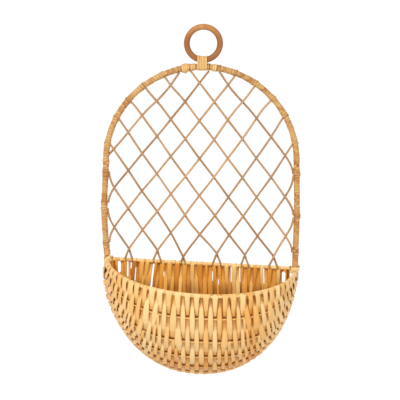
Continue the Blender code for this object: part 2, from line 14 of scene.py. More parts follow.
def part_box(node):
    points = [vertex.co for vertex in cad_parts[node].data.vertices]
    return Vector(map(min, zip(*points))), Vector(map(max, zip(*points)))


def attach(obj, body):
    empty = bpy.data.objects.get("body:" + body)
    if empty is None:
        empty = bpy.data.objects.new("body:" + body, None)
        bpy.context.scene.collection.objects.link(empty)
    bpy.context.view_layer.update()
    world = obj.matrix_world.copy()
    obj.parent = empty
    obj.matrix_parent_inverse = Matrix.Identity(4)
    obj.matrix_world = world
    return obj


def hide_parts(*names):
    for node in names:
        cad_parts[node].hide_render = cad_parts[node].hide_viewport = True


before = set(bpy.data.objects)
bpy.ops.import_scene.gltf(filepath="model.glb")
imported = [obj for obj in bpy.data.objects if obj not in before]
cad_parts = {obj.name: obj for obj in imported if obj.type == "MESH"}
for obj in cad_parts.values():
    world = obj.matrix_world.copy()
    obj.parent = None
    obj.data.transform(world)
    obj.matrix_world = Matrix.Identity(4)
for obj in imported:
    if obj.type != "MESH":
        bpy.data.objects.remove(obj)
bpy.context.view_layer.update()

MM = 0.001
RNG = np.random.default_rng(7)
RIGHT = np.array((1.0, 0.0, 0.0))
UP = np.array((0.0, 0.0, 1.0))
FRONT = np.array((0.0, -1.0, 0.0))

# Sizes of the frame that the strands follow
CENTRE_X = -3.3 * MM
ARCH_RADIUS = 148 * MM
ARCH_Z = -205.15 * MM
SIDE_DROP = 163.5 * MM
EAR_X = 147.5 * MM
EAR_Z = ARCH_Z - SIDE_DROP
EAR_TILT = -0.055
FOOT_TILT = 0.25
FOOT_DROP = 164 * MM
FOOT_POWER = 2.1
RIM_POWER = 2.05
BELLY_POWER = 0.95
BELLY_PLACE = 2.5
RIM_DEPTH = 135 * MM
RIM_DIP = 17.5 * MM
POLE_R = 3.4 * MM
RIM_R = 2.4 * MM
RIB_R = 1.4 * MM
RIB_END = 0.35
BAR_R = 1.6 * MM
RIB_SHARES = (0.0, 0.095, 0.19, 0.285, 0.41, 0.55, 0.69, 0.86, 1.0)

# Basket wall: TOP is the rim's place, counted in ribs from the foot hoop
TOP = 8
SWELL = 0.026
SWELL_LEAN = 0.6
SWELL_POWER = 0.3
ANGLE_STEP = 1e-3

# Lanes of the front weave, angles in degrees
RIM_PASSES = 31
# Rim places after which two short passes begin, and the rib that these reach
INSERTED = {5: 6, 9: 7, 12: 6, 16: 7}
RIM_STEP = HOOP_STEP = 2.68
HOOP_STEP_LOSS = 0.0118
SMOOTHING = 2
EVEN_UP_TO = 5
# Ribs, from the top of a short pass, over which its neighbour widens into its lane
LANE_OPENING = (-0.6, 0.25)
EDGE_ROOM = 0.03
STRAIGHT_PASSES = 2
FRONT_GROUPS = 9
GROUP_EDGE = 8

# Width and thickness of the front strands
STRAND_T = 1.3 * MM
GAP = 0.1 * MM
WIDEST = 1.20
MIDDLE = 1.04
NARROWEST = 0.88
WIDTH_LAG = 0.14
EAR_WIDENING = 0.45
INNER_WIDENING = 1.5
TOP_TAPER = 0.36
INNER_TAPER = 0.6
RIM_FUNNEL = 0.45
FUNNEL_DROP = 6 * MM
WAVE_POWER = 0.8
CREST_LEVEL = 0.98
RUN_STEPS = 12

# Turns round rim and hoop
RIM_TURN_WIDTH = 2.3
RIM_TURN_RUN = 0.55
RIM_TURN_DELAY = 0.8
HOOP_TURN_WIDTH = 0.9
HOOP_TURN_BULGE = 0.8 * MM
LEAST_BULGE = 0.45
HOOP_BUMP = 1.5 * MM
HOOP_BUMP_POWER = 0.7
TURN_WIDTH_POWER = 0.6
TURN_STEPS = 9
TURN_LEVEL = 0.6
FREE_END_SHARES = (0.2, 0.4, 0.6, 0.75)
FREE_END_SPAN = 0.35

# Colour of the front strands, with painted shade where they dive behind ribs, pass inside the rim, run inside
# near the ears, lie low on the wall and meet at their edges
DARK_ABOVE = 4.8 * MM
DARK_BELOW = 2.4 * MM
DARK_AT_RIM = 20 * MM
DEEP_AT_RIM = 0.24
DEEP_AT_TOP = 0.6
SLOT_SOFTNESS = 0.30
EAR_SLOT_LOSS = 0.9
EAR_INNER_DARK = 0.75
# Painted shade on the lower wall: strands darker and more orange towards the bottom
BOTTOM_FROM = -472 * MM
BOTTOM_FADE = 40 * MM
BOTTOM_PAINTED_SHADE = 0.32
# Painted shade where a strand runs inside: its tint falls
INNER_PAINTED_SHADE = 0.22
# Painted shade at the strands' edges, on runs and on turns
RUN_EDGE_SHADE = 0.34
TURN_EDGE_SHADE = 0.18

# Ribs and rim
ROD_STEPS = 110

# Noise along strands: rows per bump, and size of the bumps
NOISE = {
    "face": (16, 0.08), "front tint": (50, 0.11), "rib": (9, 0.03), "back tint": (16, 0.08),
    "back place": (14, 0.25 * MM), "back width": (9, 1.0), "back rib": (8, 0.15 * MM),
    "crossbar": (8, 0.3 * MM), "wrap": (45, 0.30), "reed": (16, 0.4 * MM), "reed radius": (7, 0.05),
    "reed tint": (8, 0.08),
}
# Strands' own tints, 0 dark to 1 pale: middle and spread
TINTS = {
    "front": (0.45, 0.08), "back": (0.52, 0.18), "crossbar": (0.52, 0.22), "reed": (0.62, 0.12),
    "tie": (0.12, 0.08), "crossbar tie": (0.35, 0.1), "binding": (0.48, 0.07), "ear wrap": (0.25, 0.08),
    "ear tie": (0.85, 0.08),
}


def unit(vectors):
    length = norm(vectors, axis=-1, keepdims=True)
    return vectors / np.maximum(length, 1e-12)


def spots(*parts):
    """Points from their coordinates."""
    return np.stack(np.broadcast_arrays(*parts), axis=-1)


def limited(value):
    return np.clip(value, 0, 1)


def eased(share):
    """A share from 0 to 1 with soft ends."""
    return share * share * (3 - 2 * share)


def circle(count):
    """That many even angles round a circle."""
    return 2 * pi * np.arange(count) / count


def ellipse(sides, power=2.0):
    """Unit outline of a strand's section, across and through its thickness."""
    angles = 2 * pi * (np.arange(sides) + 0.5) / sides
    a, b = np.cos(angles), np.sin(angles)
    share = 2 / power
    return spots(np.sign(a) * np.abs(a) ** share, np.sign(b) * np.abs(b) ** share)


def placed(name, data):
    """A new object of the scene, with that data."""
    made = bpy.data.objects.new(name, data)
    bpy.context.scene.collection.objects.link(made)
    return made


FLAT = ellipse(14, 2.8)
ROUND = ellipse(10)
# What the materials read at each point of a strand
LOOKS = ("along", "across", "tint", "deep", "shade")


def edge_shade(strength, power, profile=FLAT):
    """Shade across a strand, darker towards its edges by that strength."""
    return np.atleast_2d(1 - strength * np.abs(profile[:, 0]) ** power)


class Bundle:
    """Closed strands gathered into one mesh, with their looks at each point."""

    def __init__(self):
        self.points, self.faces, self.size = [], [], 0
        self.data = {key: [] for key in LOOKS}

    def grid(self, points, closed, **looks):
        """Adds a tube of rows of points, capped unless it is closed."""
        rows, count = points.shape[:2]
        self.points.append(points.reshape(-1, 3))
        for key, value in looks.items():
            value = np.asarray(value, float)
            if value.ndim == 1:
                value = value[:, None]
            self.data[key].append((value * np.ones((rows, count))).ravel())
        ring = np.arange(count)
        after = (ring + 1) % count
        starts = np.arange(rows if closed else rows - 1)[:, None]
        here = self.size + starts * count
        there = self.size + ((starts + 1) % rows) * count
        quads = spots(here + ring, here + after, there + after, there + ring)
        self.faces += quads.reshape(-1, 4).tolist()
        if not closed:
            self.faces.append((self.size + ring[::-1]).tolist())
            self.faces.append((self.size + (rows - 1) * count + ring).tolist())
        self.size += rows * count

    def loft(self, centre, side, normal, profile, tint=0.5, deep=0.0, shade=1.0, closed=False):
        """Adds one strand: side and normal are vectors of half its width and half its thickness."""
        a, b = profile[:, 0], profile[:, 1]
        points = centre[:, None] + side[:, None] * a[:, None] + normal[:, None] * b[:, None]
        steps = norm(np.diff(centre, axis=0), axis=1)
        along = np.concatenate([[0.0], np.cumsum(steps)]) + RNG.random()
        width = norm(side, axis=1)
        self.grid(points, closed, along=along, across=width[:, None] * a[None],
                  tint=tint, deep=deep, shade=shade)

    def sweep(self, centre, normal, half_w, half_t, profile=FLAT, **looks):
        """Adds one strand along centre, its broad face towards normal."""
        if looks.get("closed"):
            tangent = unit(np.roll(centre, -1, axis=0) - np.roll(centre, 1, axis=0))
        else:
            tangent = unit(np.gradient(centre, axis=0))
        side = unit(np.cross(normal, tangent))
        normal = np.cross(tangent, side)
        half_w, half_t = (np.broadcast_to(half, len(centre))[:, None] for half in (half_w, half_t))
        self.loft(centre, side * half_w, normal * half_t, profile, **looks)

    def object(self, name, slot, *nodes, body="basket"):
        """Makes the mesh one piece, in its slot's finish, in place of the frame's nodes."""
        mesh = bpy.data.meshes.new(name)
        mesh.from_pydata(np.concatenate(self.points).tolist(), [], self.faces)
        for key, chunks in self.data.items():
            made = mesh.attributes.new(key, "FLOAT", "POINT")
            made.data.foreach_set("value", np.concatenate(chunks).astype(np.float32))
        mesh.shade_smooth()
        mesh.materials.append(FINISH[slot])
        obj = placed(name, mesh)
        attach(obj, body)
        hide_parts(*nodes)


def noise(count, name):
    """Smooth random values, as many as count."""
    step, size = NOISE[name]
    knots = RNG.normal(0, size, count // step + 4)
    places = np.arange(count) / step + 1
    low = places.astype(int)
    ease = eased(places - low)
    return knots[low] * (1 - ease) + knots[low + 1] * ease


def vary(name):
    """A strand's own tint, kept within the ramp."""
    middle, spread = TINTS[name]
    return float(limited(middle + RNG.normal(0, spread)))


# Basket wall

def ear_z(x):
    """Height of the sloping line from ear to ear, x from the frame's middle."""
    return EAR_Z + EAR_TILT * x


def wall_phi(place):
    """Angle up the wall of a place: 0 is the foot hoop, then come the ribs and the rim."""
    return np.interp(place, range(TOP + 1), RIB_SHARES) * pi / 2


def wall_swell(theta, phi):
    """Belly of the woven wall beyond its hoop, most at the foot and on the left."""
    around = np.maximum(np.sin(theta), 0) ** SWELL_POWER * (1 + SWELL_LEAN * np.cos(theta))
    return SWELL * around * np.sqrt(np.maximum(np.cos(phi), 0))


def wall(theta, phi):
    """Points of the front wall: theta from ear to ear, phi from the foot hoop up to the rim."""
    theta, phi = np.broadcast_arrays(np.asarray(theta, float), np.asarray(phi, float))
    share = limited(phi / (pi / 2))
    power = FOOT_POWER + (RIM_POWER - FOOT_POWER) * share
    power = power + BELLY_POWER * np.sin(pi * share ** BELLY_PLACE)
    x = -EAR_X * np.cos(theta)
    reach = np.sqrt(np.maximum(1 - np.abs(np.cos(theta)) ** power, 0))
    drop = FOOT_DROP * np.cos(phi) + RIM_DIP * np.sin(phi)
    tilt = EAR_TILT * (FOOT_TILT + (1 - FOOT_TILT) * np.sin(phi))
    full = 1 + wall_swell(theta, phi)
    z = EAR_Z + tilt * x - reach * drop * full
    return spots(x * full + CENTRE_X, -RIM_DEPTH * reach * np.sin(phi), z)


def wall_axes(theta, phi):
    """Unit vectors along the wall to the right, up it, and out of the basket."""
    along = wall(theta + ANGLE_STEP, phi) - wall(theta - ANGLE_STEP, phi)
    up = unit(wall(theta, phi + ANGLE_STEP) - wall(theta, phi - ANGLE_STEP))
    return unit(along), up, unit(np.cross(along, up))


def rib_radius(theta):
    return RIB_R * (RIB_END + (1 - RIB_END) * np.sin(theta))


def support_radius(place, theta):
    """Radius of what a strand crosses at a whole place: hoop, rib or rim."""
    return {0: POLE_R, TOP: RIM_R}.get(place, rib_radius(theta))


# Front weave

def half_passes():
    """Rim place, hoop place and top of each pass, from the middle to the right ear."""
    passes = []
    for rim in range(RIM_PASSES + 1):
        passes.append((rim, len(passes), TOP))
        if rim in INSERTED:
            for part in (1 / 3, 2 / 3):
                passes.append((rim + part, len(passes), INSERTED[rim]))
    return passes


def all_passes():
    """Angle at the rim, angle at the hoop and top of every pass, from ear to ear."""
    made = []
    half = half_passes()
    for side, chosen in ((-1, half[:0:-1]), (1, half)):
        for rim, hoop, top in chosen:
            rim_angle = RIM_STEP * rim * pi / 180
            hoop_angle = (HOOP_STEP * hoop - HOOP_STEP_LOSS * hoop ** 2) * pi / 180
            made.append((pi / 2 + side * rim_angle, pi / 2 + side * hoop_angle, top))
    return made


def evened(angles):
    """Angles with their steps shared out among neighbours, the middle one kept."""
    padded = np.pad(angles, SMOOTHING, mode="reflect", reflect_type="odd")
    window = 2 * SMOOTHING + 1
    return np.convolve(padded, np.ones(window) / window, mode="valid")


PASS_RIM, PASS_HOOP, PASS_TOP = (np.array(column) for column in zip(*all_passes()))
PASS_COUNT = len(PASS_TOP)
LAST_PASS = PASS_COUNT - 1
PASS_RIM_EVEN = evened(PASS_RIM)
# How each pass differs from a regular one: place in its lane, width and belly
PASS_SHIFT = RNG.normal(0, 0.035, PASS_COUNT)
PASS_WIDTH = 1 + RNG.normal(0, 0.05, PASS_COUNT)
PASS_BULGE = 1 + np.abs(RNG.normal(0, 0.10, PASS_COUNT))


def lane_edges(number, phi):
    """Numbers at which a pass's lane begins and ends: wider above the short passes beside it."""
    edges = []
    for way in (-1, 1):
        beside = PASS_TOP[min(max(number + way, 0), LAST_PASS)]
        room = 0 * phi
        if beside < PASS_TOP[number]:
            start, end = (wall_phi(beside + step) for step in LANE_OPENING)
            room = limited((phi - start) / (end - start))
        edges.append(np.clip(number + way * (0.5 + room), 0, LAST_PASS))
    return edges


def lane_theta(numbers, phi):
    """Angle of pass numbers at phi: lanes even out below the tops of short passes."""
    index = np.arange(PASS_COUNT)
    hoop, even, true = (np.interp(numbers, index, angles) for angles in (PASS_HOOP, PASS_RIM_EVEN, PASS_RIM))
    low, high = wall_phi(EVEN_UP_TO), wall_phi(TOP)
    rim = even + (true - even) * limited((phi - low) / (high - low))
    return np.clip(hoop + (rim - hoop) * phi / (pi / 2), EDGE_ROOM, pi - EDGE_ROOM)


def pass_pitch(number, phi):
    """Width of wall that a pass has for itself, in metres."""
    low, high = lane_edges(number, np.asarray(phi, float))
    span = wall(lane_theta(high, phi), phi) - wall(lane_theta(low, phi), phi)
    share = np.maximum(high - low, 0.5) / np.maximum(np.round(high - low), 1)
    return norm(span, axis=-1) / np.minimum(share, 1)


def crossed_ribs(number):
    """Whole places at which a pass crosses something: the last ones at the ears cross no rib."""
    if min(number, LAST_PASS - number) < STRAIGHT_PASSES:
        return [0, TOP]
    return list(range(PASS_TOP[number] + 1))


def pass_side(number):
    """1 where a pass starts outside at the foot hoop, and -1 where it starts inside."""
    return 1 if number % 2 == 0 else -1


def reach_at(place, theta):
    """Distance of a strand's centre from the centre of what it crosses."""
    return support_radius(place, theta) + GAP + STRAND_T / 2


def hoop_bump(theta):
    """How far an outer strand stands out from its fellows where it rounds the hoop."""
    return HOOP_BUMP * sin(theta) ** HOOP_BUMP_POWER


def width_share(level):
    """Strand width as a share of its pitch: level 1 outside, 0 between, -1 inside."""
    rise = (WIDEST - NARROWEST) / 2
    bend = (WIDEST + NARROWEST) / 2 - MIDDLE
    return MIDDLE + rise * level + bend * level ** 2


def darkness(distance, reach):
    """Shade where a strand dives behind a rib: over 1 is fully dark, under 0 not at all."""
    return (reach - distance) / (SLOT_SOFTNESS * reach)


def run_rows(number, low, high, side):
    """Rows of a pass between two crossings: place, offset, level, darkness and width."""
    share = 0.5 - 0.5 * np.cos(pi * np.arange(RUN_STEPS) / RUN_STEPS)
    phi_low, phi_high = wall_phi(low), wall_phi(high)
    ends = [float(lane_theta(number, phi)) for phi in (phi_low, phi_high)]
    run = float(norm(wall(ends[1], phi_high) - wall(ends[0], phi_low)))
    wave = np.cos(pi * share)
    weight = (1 + np.sign(wave) * np.abs(wave) ** WAVE_POWER) / 2
    level = side * (2 * weight - 1)
    start, end = side * reach_at(low, ends[0]), -side * reach_at(high, ends[1])
    if high - low == TOP:
        level, end = side + 0 * share, side * reach_at(high, ends[1])
    offset = start * weight + end * (1 - weight)
    if low == 0 and side > 0:
        offset = offset + hoop_bump(ends[0]) * weight ** 2
    bulge = np.where((level > 0) & (level < CREST_LEVEL), PASS_BULGE[number], 1)
    wide = width_share(side * np.cos(pi * (share + WIDTH_LAG)))
    if high == TOP and high - low == 1:
        wide = wide * (1 - TOP_TAPER * (share if side > 0 else INNER_TAPER * (1 - share)))
    # Painted shade where the strand dives behind a rib, and where it passes inside the rim
    slot = 1 - EAR_SLOT_LOSS * (1 - sin(ends[0]))
    if side < 0:
        deep = darkness(share * run, DARK_ABOVE * slot)
    elif high == TOP:
        deep = DEEP_AT_RIM * limited(1 - (1 - share) * run / DARK_AT_RIM)
    else:
        deep = darkness((1 - share) * run, DARK_BELOW * slot)
    return phi_low + (phi_high - phi_low) * share, offset * bulge, level, deep, wide


def pass_rows(number):
    """The same rows for a whole pass, from hoop to top."""
    crossed = crossed_ribs(number)
    side = pass_side(number)
    parts = []
    for low, high in zip(crossed, crossed[1:]):
        parts.append(run_rows(number, low, high, side))
        side = -side
    top = crossed[-1]
    phi = wall_phi(top)
    if len(crossed) == 2:
        side = -side
    end = side * reach_at(top, float(lane_theta(number, phi)))
    # Painted shade on a strand's end inside the rim
    deep = DEEP_AT_TOP if side < 0 else 0
    parts.append(([phi], [end], [side], [deep], [width_share(side * cos(pi * WIDTH_LAG))]))
    return [np.concatenate(columns) for columns in zip(*parts)]


def wall_strand_rows(number):
    """Centres, face normals, half widths, levels, darkness and rod's pull of a pass, hoop to top."""
    phi, offsets, levels, deep, wide = pass_rows(number)
    low, high = lane_edges(number, phi)
    theta = lane_theta((low + high) / 2 + PASS_SHIFT[number], phi)
    rod, up, out = wall_axes(theta, phi)
    centre = wall(theta, phi) + out * offsets[:, None]
    near_ear = 1 - np.sin(theta)
    inner = (1 - levels) / 2
    wide = wide + (EAR_WIDENING + INNER_WIDENING * inner) * near_ear
    to_top, to_hoop = (norm(centre - end, axis=1) for end in (centre[-1], centre[0]))
    if PASS_TOP[number] == TOP and levels[-1] > 0:
        wide = wide + RIM_FUNNEL * limited(1 - to_top / FUNNEL_DROP) ** 2
    # Painted shade on inner runs near the ears
    deep = np.maximum(deep, EAR_INNER_DARK * limited(2 * inner - 1) * near_ear)
    half = pass_pitch(number, phi) * wide * PASS_WIDTH[number] / 2
    tilt = noise(len(phi), "face")
    normal = out + unit(np.cross(up, out)) * tilt[:, None]
    if PASS_TOP[number] < TOP:
        to_top = to_top + FUNNEL_DROP
    pull = limited(1 - np.minimum(to_top, to_hoop) / FUNNEL_DROP)
    return centre, normal * pass_side(number), half, levels, deep, rod * pull[:, None]


def turn_rows(first, place, angles, widen=True, span=1.0):
    """Rows that carry a strand round a rod from pass first towards the next one."""
    rows = []
    phi = float(wall_phi(place))
    pitch = float(pass_pitch(first, phi))
    widest = RIM_TURN_WIDTH if place == TOP else HOOP_TURN_WIDTH
    bulge = 0.0
    if place == 0:
        bulge = HOOP_TURN_BULGE * (LEAST_BULGE + (1 - LEAST_BULGE) * RNG.random())
    for i, angle in enumerate(angles):
        share = (i + 1) / (len(angles) + 1)
        late = limited(share / RIM_TURN_RUN - RIM_TURN_DELAY) if place == TOP else share
        number = first + PASS_SHIFT[first] * (1 - share) + span * eased(late)
        theta = float(lane_theta(number, phi))
        rod, up, out = wall_axes(theta, phi)
        face = out * cos(angle) + (up if place > 0 else -up) * sin(angle)
        wide = 1 + (widest - 1) * sin(pi * share) ** TURN_WIDTH_POWER if widen else 1
        reach = reach_at(place, theta) + bulge * sin(pi * share)
        if place == 0:
            reach += hoop_bump(theta) * ((1 + cos(angle)) / 2) ** 2
        rows.append((wall(theta, phi) + face * reach, face, pitch * wide / 2, TURN_LEVEL, 0.0, rod))
    return [np.array(column) for column in zip(*rows)]


def add_front_strand(bundle, rows):
    centre, normal, half, levels, deep, rod = (np.concatenate(column) for column in zip(*rows))
    tint = vary("front") + noise(len(centre), "front tint")
    # Painted shade: tint falls where the strand runs inside and towards the bottom, and its edges are
    # darkened
    tint = tint - INNER_PAINTED_SHADE * limited(-levels)
    low = limited((BOTTOM_FROM - centre[:, 2]) / BOTTOM_FADE)
    strength = np.where(levels == TURN_LEVEL, TURN_EDGE_SHADE, RUN_EDGE_SHADE)
    side = unit(np.cross(normal, unit(np.gradient(centre, axis=0))))
    rod = rod * np.sign(np.sum(side * rod, axis=1))[:, None]
    pull = norm(rod, axis=1)[:, None]
    side = unit(side * (1 - pull) + rod)
    normal = unit(normal - side * np.sum(normal * side, axis=1)[:, None])
    bundle.loft(centre, side * half[:, None], normal * STRAND_T / 2, FLAT, deep=deep,
                tint=limited(tint - BOTTOM_PAINTED_SHADE * low),
                shade=edge_shade(strength[:, None], 7))


def strand_chains(numbers):
    """Splits a group's passes into unbroken strands: joined at the hoop, and at equal tops."""
    chains = [numbers[:1]]
    for number in numbers[1:]:
        if number % 2 == 0 or PASS_TOP[number] == PASS_TOP[number - 1]:
            chains[-1].append(number)
        else:
            chains.append([number])
    return chains


def free_end(number, at_top):
    """Short tucked end of a strand round its rod."""
    side = pass_side(number)
    angles = [(0 if side > 0 else pi) + side * pi * share for share in FREE_END_SHARES]
    span = FREE_END_SPAN * side * (1 if at_top else -1)
    return turn_rows(number, PASS_TOP[number] if at_top else 0, angles, widen=False, span=span)


def chain_rows(chain):
    """Rows of one unbroken strand through its passes and turns."""
    first, last = chain[0], chain[-1]
    rows = [[part[::-1] for part in free_end(first, first % 2 == 1)]]
    for number in chain:
        part = wall_strand_rows(number)
        rows.append(part if number % 2 == 0 else [p[::-1] for p in part])
        if number != last:
            place, start, end = (PASS_TOP[number], 0, pi) if number % 2 == 0 else (0, pi, 0)
            angles = start + (end - start) * np.arange(1, TURN_STEPS + 1) / (TURN_STEPS + 1)
            rows.append(turn_rows(number, place, angles))
    return rows + [free_end(last, last % 2 == 0)]


def build_front_weave():
    """One piece for each woven strand of the frame, with its passes and turns."""
    spread = np.linspace(GROUP_EDGE, 180 - GROUP_EDGE, FRONT_GROUPS + 1) * pi / 180
    group = np.clip(np.searchsorted(spread, (PASS_RIM + PASS_HOOP) / 2) - 1, 0, FRONT_GROUPS - 1)
    for index in range(FRONT_GROUPS):
        bundle = Bundle()
        for chain in strand_chains([n for n in range(PASS_COUNT) if group[n] == index]):
            add_front_strand(bundle, chain_rows(chain))
        bundle.object(f"front_weave_{index + 1}", "straw_cane", f"front_weaver_{index + 1}")


def add_rod(name, slot, node, centre, normal, radius, **looks):
    """One round rod as a piece of its own."""
    bundle = Bundle()
    bundle.sweep(centre, normal, radius, radius, ROUND, **looks)
    bundle.object(name, slot, node)


def add_wall_rod(name, node, theta, phi, radius, tint):
    add_rod(name, "straw_cane", node, wall(theta, phi), wall_axes(theta, phi)[2], radius, tint=tint)


def build_front_rods():
    for index in range(1, TOP):
        low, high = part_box(f"front_rib_{index}")
        ends = [np.arccos((CENTRE_X - x) / EAR_X) for x in (low.x, high.x)]
        theta = np.linspace(*ends, ROD_STEPS)
        radius = rib_radius(theta) * (1 + noise(ROD_STEPS, "rib"))
        add_wall_rod(f"rib_{index}", f"front_rib_{index}", theta, wall_phi(index), radius, 0.36)
    theta = np.linspace(EDGE_ROOM, pi - EDGE_ROOM, ROD_STEPS)
    add_wall_rod("rim", "front_rim", theta, pi / 2, RIM_R, 0.7)


# Back panel

BACK_EDGE = 139 * MM
BACK_EDGE_LEFT = -143.5 * MM
FOOT_EDGE = 134 * MM
TOP_ROOM = 52 * MM
BACK_RIB_STEP = 25 * MM
BACK_RIBS = 4
BACK_RIB_R = 1.6 * MM
BACK_STRAND = 5.8 * MM
OVERLAP = 0.7 * MM
INSET = POLE_R + STRAND_T + 1 * MM
LEAN_ROOM = 45 * MM
LEAN = 3 * MM
LEAN_WAVE = 22 * MM
BACK_GROUPS = 5
BACK_ROWS = 64
SEAM_SPREAD = 0.9 * MM
SLIT_FADE = 4 * MM
# Open slits between back strands, in millimetres: place from the frame's middle at the crossbar,
# lean to the foot's side over the lean room, width, and the drops between which it is open
SLITS_MM = (
    (-129.0, 1.0, 4.2, -5, 24), (-115.0, -1.5, 1.4, -5, 30), (-109.8, -1.2, 1.9, -5, 17),
    (-101.6, -3.6, 1.0, 8, 36), (-74.0, -5.0, 2.3, 1, 46), (-58.0, -2.0, 0.6, 12, 26),
    (17.5, 0.5, 1.1, 8, 30), (26.5, 1.0, 1.2, 20, 36), (46.8, 0.4, 0.9, -5, 30), (60.4, 0.8, 0.8, 0, 30),
    (98.2, 0.6, 1.3, -5, 30), (129.6, -0.8, 4.8, 4, 26),
)
CLOSED = -60 * MM
PALE_PLACES = (53.5 * MM, 93 * MM)
PALE_TINT = 0.95
WIDTH_LOSS = 0.05
FACE_SPREAD = 0.10
FOOT_WAVE = 0.4
# Painted shade on the five strands of a repeat behind the basket's rim, and how the drop below the
# crossbar makes it grow and fade
BACK_SHADE = (0.15, 0.75, 0.30, 0.55, 0.10)
SHADE_RISE = 42 * MM
SHADE_FADE = 60 * MM
SHADE_HOLD = 1.6
# Painted shade on the strands that pass behind the crossbar, just below it
BAR_SHADE = 0.55
BAR_SHADE_DROP = 5 * MM
STICK_STEPS = 60

# Crossbar
BAR_STEPS = 90
BAR_TURN_STEPS = 24
BAR_TURN_WIDTH = 0.56
BAR_TURN_SHIFT = 0.3 * MM
BAR_TURN_LIFT = 0.16 * MM


def back_seams():
    """Seams from left to right: place, lean, width, and first and last drop of the open slit."""
    slits = [tuple(value * MM for value in slit) for slit in SLITS_MM]
    stops = [(BACK_EDGE_LEFT, 0.0, 0.0, 0.0, 0.0)] + slits + [(BACK_EDGE, 0.0, 0.0, 0.0, 0.0)]
    seams = [stops[0]]
    for left, right in zip(stops, stops[1:]):
        count = max(1, round((right[0] - left[0]) / BACK_STRAND))
        for share in np.arange(1, count) / count:
            place, lean = (a + (b - a) * share + RNG.normal(0, SEAM_SPREAD)
                           for a, b in zip(left[:2], right[:2]))
            lean += LEAN * sin(place / LEAN_WAVE + 1.0) * sin(pi * share)
            seams.append((place, lean, -2 * OVERLAP, CLOSED, CLOSED))
        seams.append(right)
    return seams


SEAMS = back_seams()


def seam_edge(seam, drop, side):
    """Places of the strand edge left (-1) or right (1) of a seam, at drops below the crossbar."""
    place, lean, width, first, last = seam
    opened = limited((drop - first) / SLIT_FADE) * limited((last - drop) / SLIT_FADE)
    gap = width * opened - 2 * OVERLAP * (1 - opened) if width > 0 else width
    return place + lean * np.minimum(drop / LEAN_ROOM, 1) + side * gap / 2


def foot_z(x, inset):
    """Height of the foot hoop's inner edge at x from the middle."""
    share = np.minimum(np.abs(x) / (EAR_X - inset), 1)
    return EAR_Z + FOOT_TILT * EAR_TILT * x - (FOOT_DROP - inset) * np.sqrt(1 - share ** FOOT_POWER)


def back_step(drop):
    """Count of bars and ribs passed at a drop below the crossbar: whole at each of them."""
    return np.where(drop < TOP_ROOM, drop / TOP_ROOM, 1 + (drop - TOP_ROOM) / BACK_RIB_STEP)


def add_back_strand(bundle, number):
    over = 1 if number % 2 == 0 else -1
    share = np.linspace(0, 1, BACK_ROWS)
    place = (SEAMS[number][0] + SEAMS[number + 1][0]) / 2
    top, foot = ear_z(place), foot_z(np.clip(place, -FOOT_EDGE, FOOT_EDGE), INSET)
    drop = share * (top - foot)
    left = seam_edge(SEAMS[number], drop, 1)
    right = seam_edge(SEAMS[number + 1], drop, -1)
    x = (left + right) / 2 + noise(BACK_ROWS, "back place") * np.minimum(1, 8 * share)
    half = (right - left) / 2 * (1 - WIDTH_LOSS * np.abs(noise(BACK_ROWS, "back width")))
    step = back_step(drop)
    reach = np.where(step < 0.5, BAR_R, BACK_RIB_R) + GAP + STRAND_T / 2
    level = over * np.cos(pi * step) * np.where(step < BACK_RIBS + 0.5, 1, FOOT_WAVE)
    centre = spots(x + CENTRE_X, -level * reach, top - drop)
    normal = (RNG.normal(0, FACE_SPREAD), -1.0, 0.0)
    pale = min(abs(place - spot) for spot in PALE_PLACES) < BACK_STRAND / 2
    tint = (PALE_TINT if pale else vary("back")) + noise(BACK_ROWS, "back tint")
    # Painted shade behind the rim, and just below the crossbar where a strand passes behind it
    low = limited(drop / SHADE_RISE) ** 3 * limited(SHADE_HOLD - drop / SHADE_FADE)
    at_bar = BAR_SHADE * limited(darkness(drop, BAR_SHADE_DROP)) * (over < 0)
    deep = np.maximum(at_bar, BACK_SHADE[number % len(BACK_SHADE)] * low)
    bundle.sweep(centre, normal, half, STRAND_T / 2, tint=limited(tint), deep=deep,
                 shade=edge_shade(0.45, 6))


def build_back_panel():
    for index, members in enumerate(np.array_split(np.arange(len(SEAMS) - 1), BACK_GROUPS)):
        bundle = Bundle()
        for number in members:
            add_back_strand(bundle, number)
        bundle.object(f"back_weave_{index + 1}", "amber_cane", f"back_weaver_{index + 1}")
    for index in range(1, BACK_RIBS + 1):
        low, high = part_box(f"back_rib_{index}")
        xs = np.linspace(low.x, high.x, STICK_STEPS)
        z = ear_z(xs - CENTRE_X) - TOP_ROOM - (index - 1) * BACK_RIB_STEP
        centre = spots(xs, 0, z + noise(STICK_STEPS, "back rib"))
        add_rod(f"back_stick_{index}", "amber_cane", f"back_rib_{index}", centre, FRONT, BACK_RIB_R, tint=0.6)


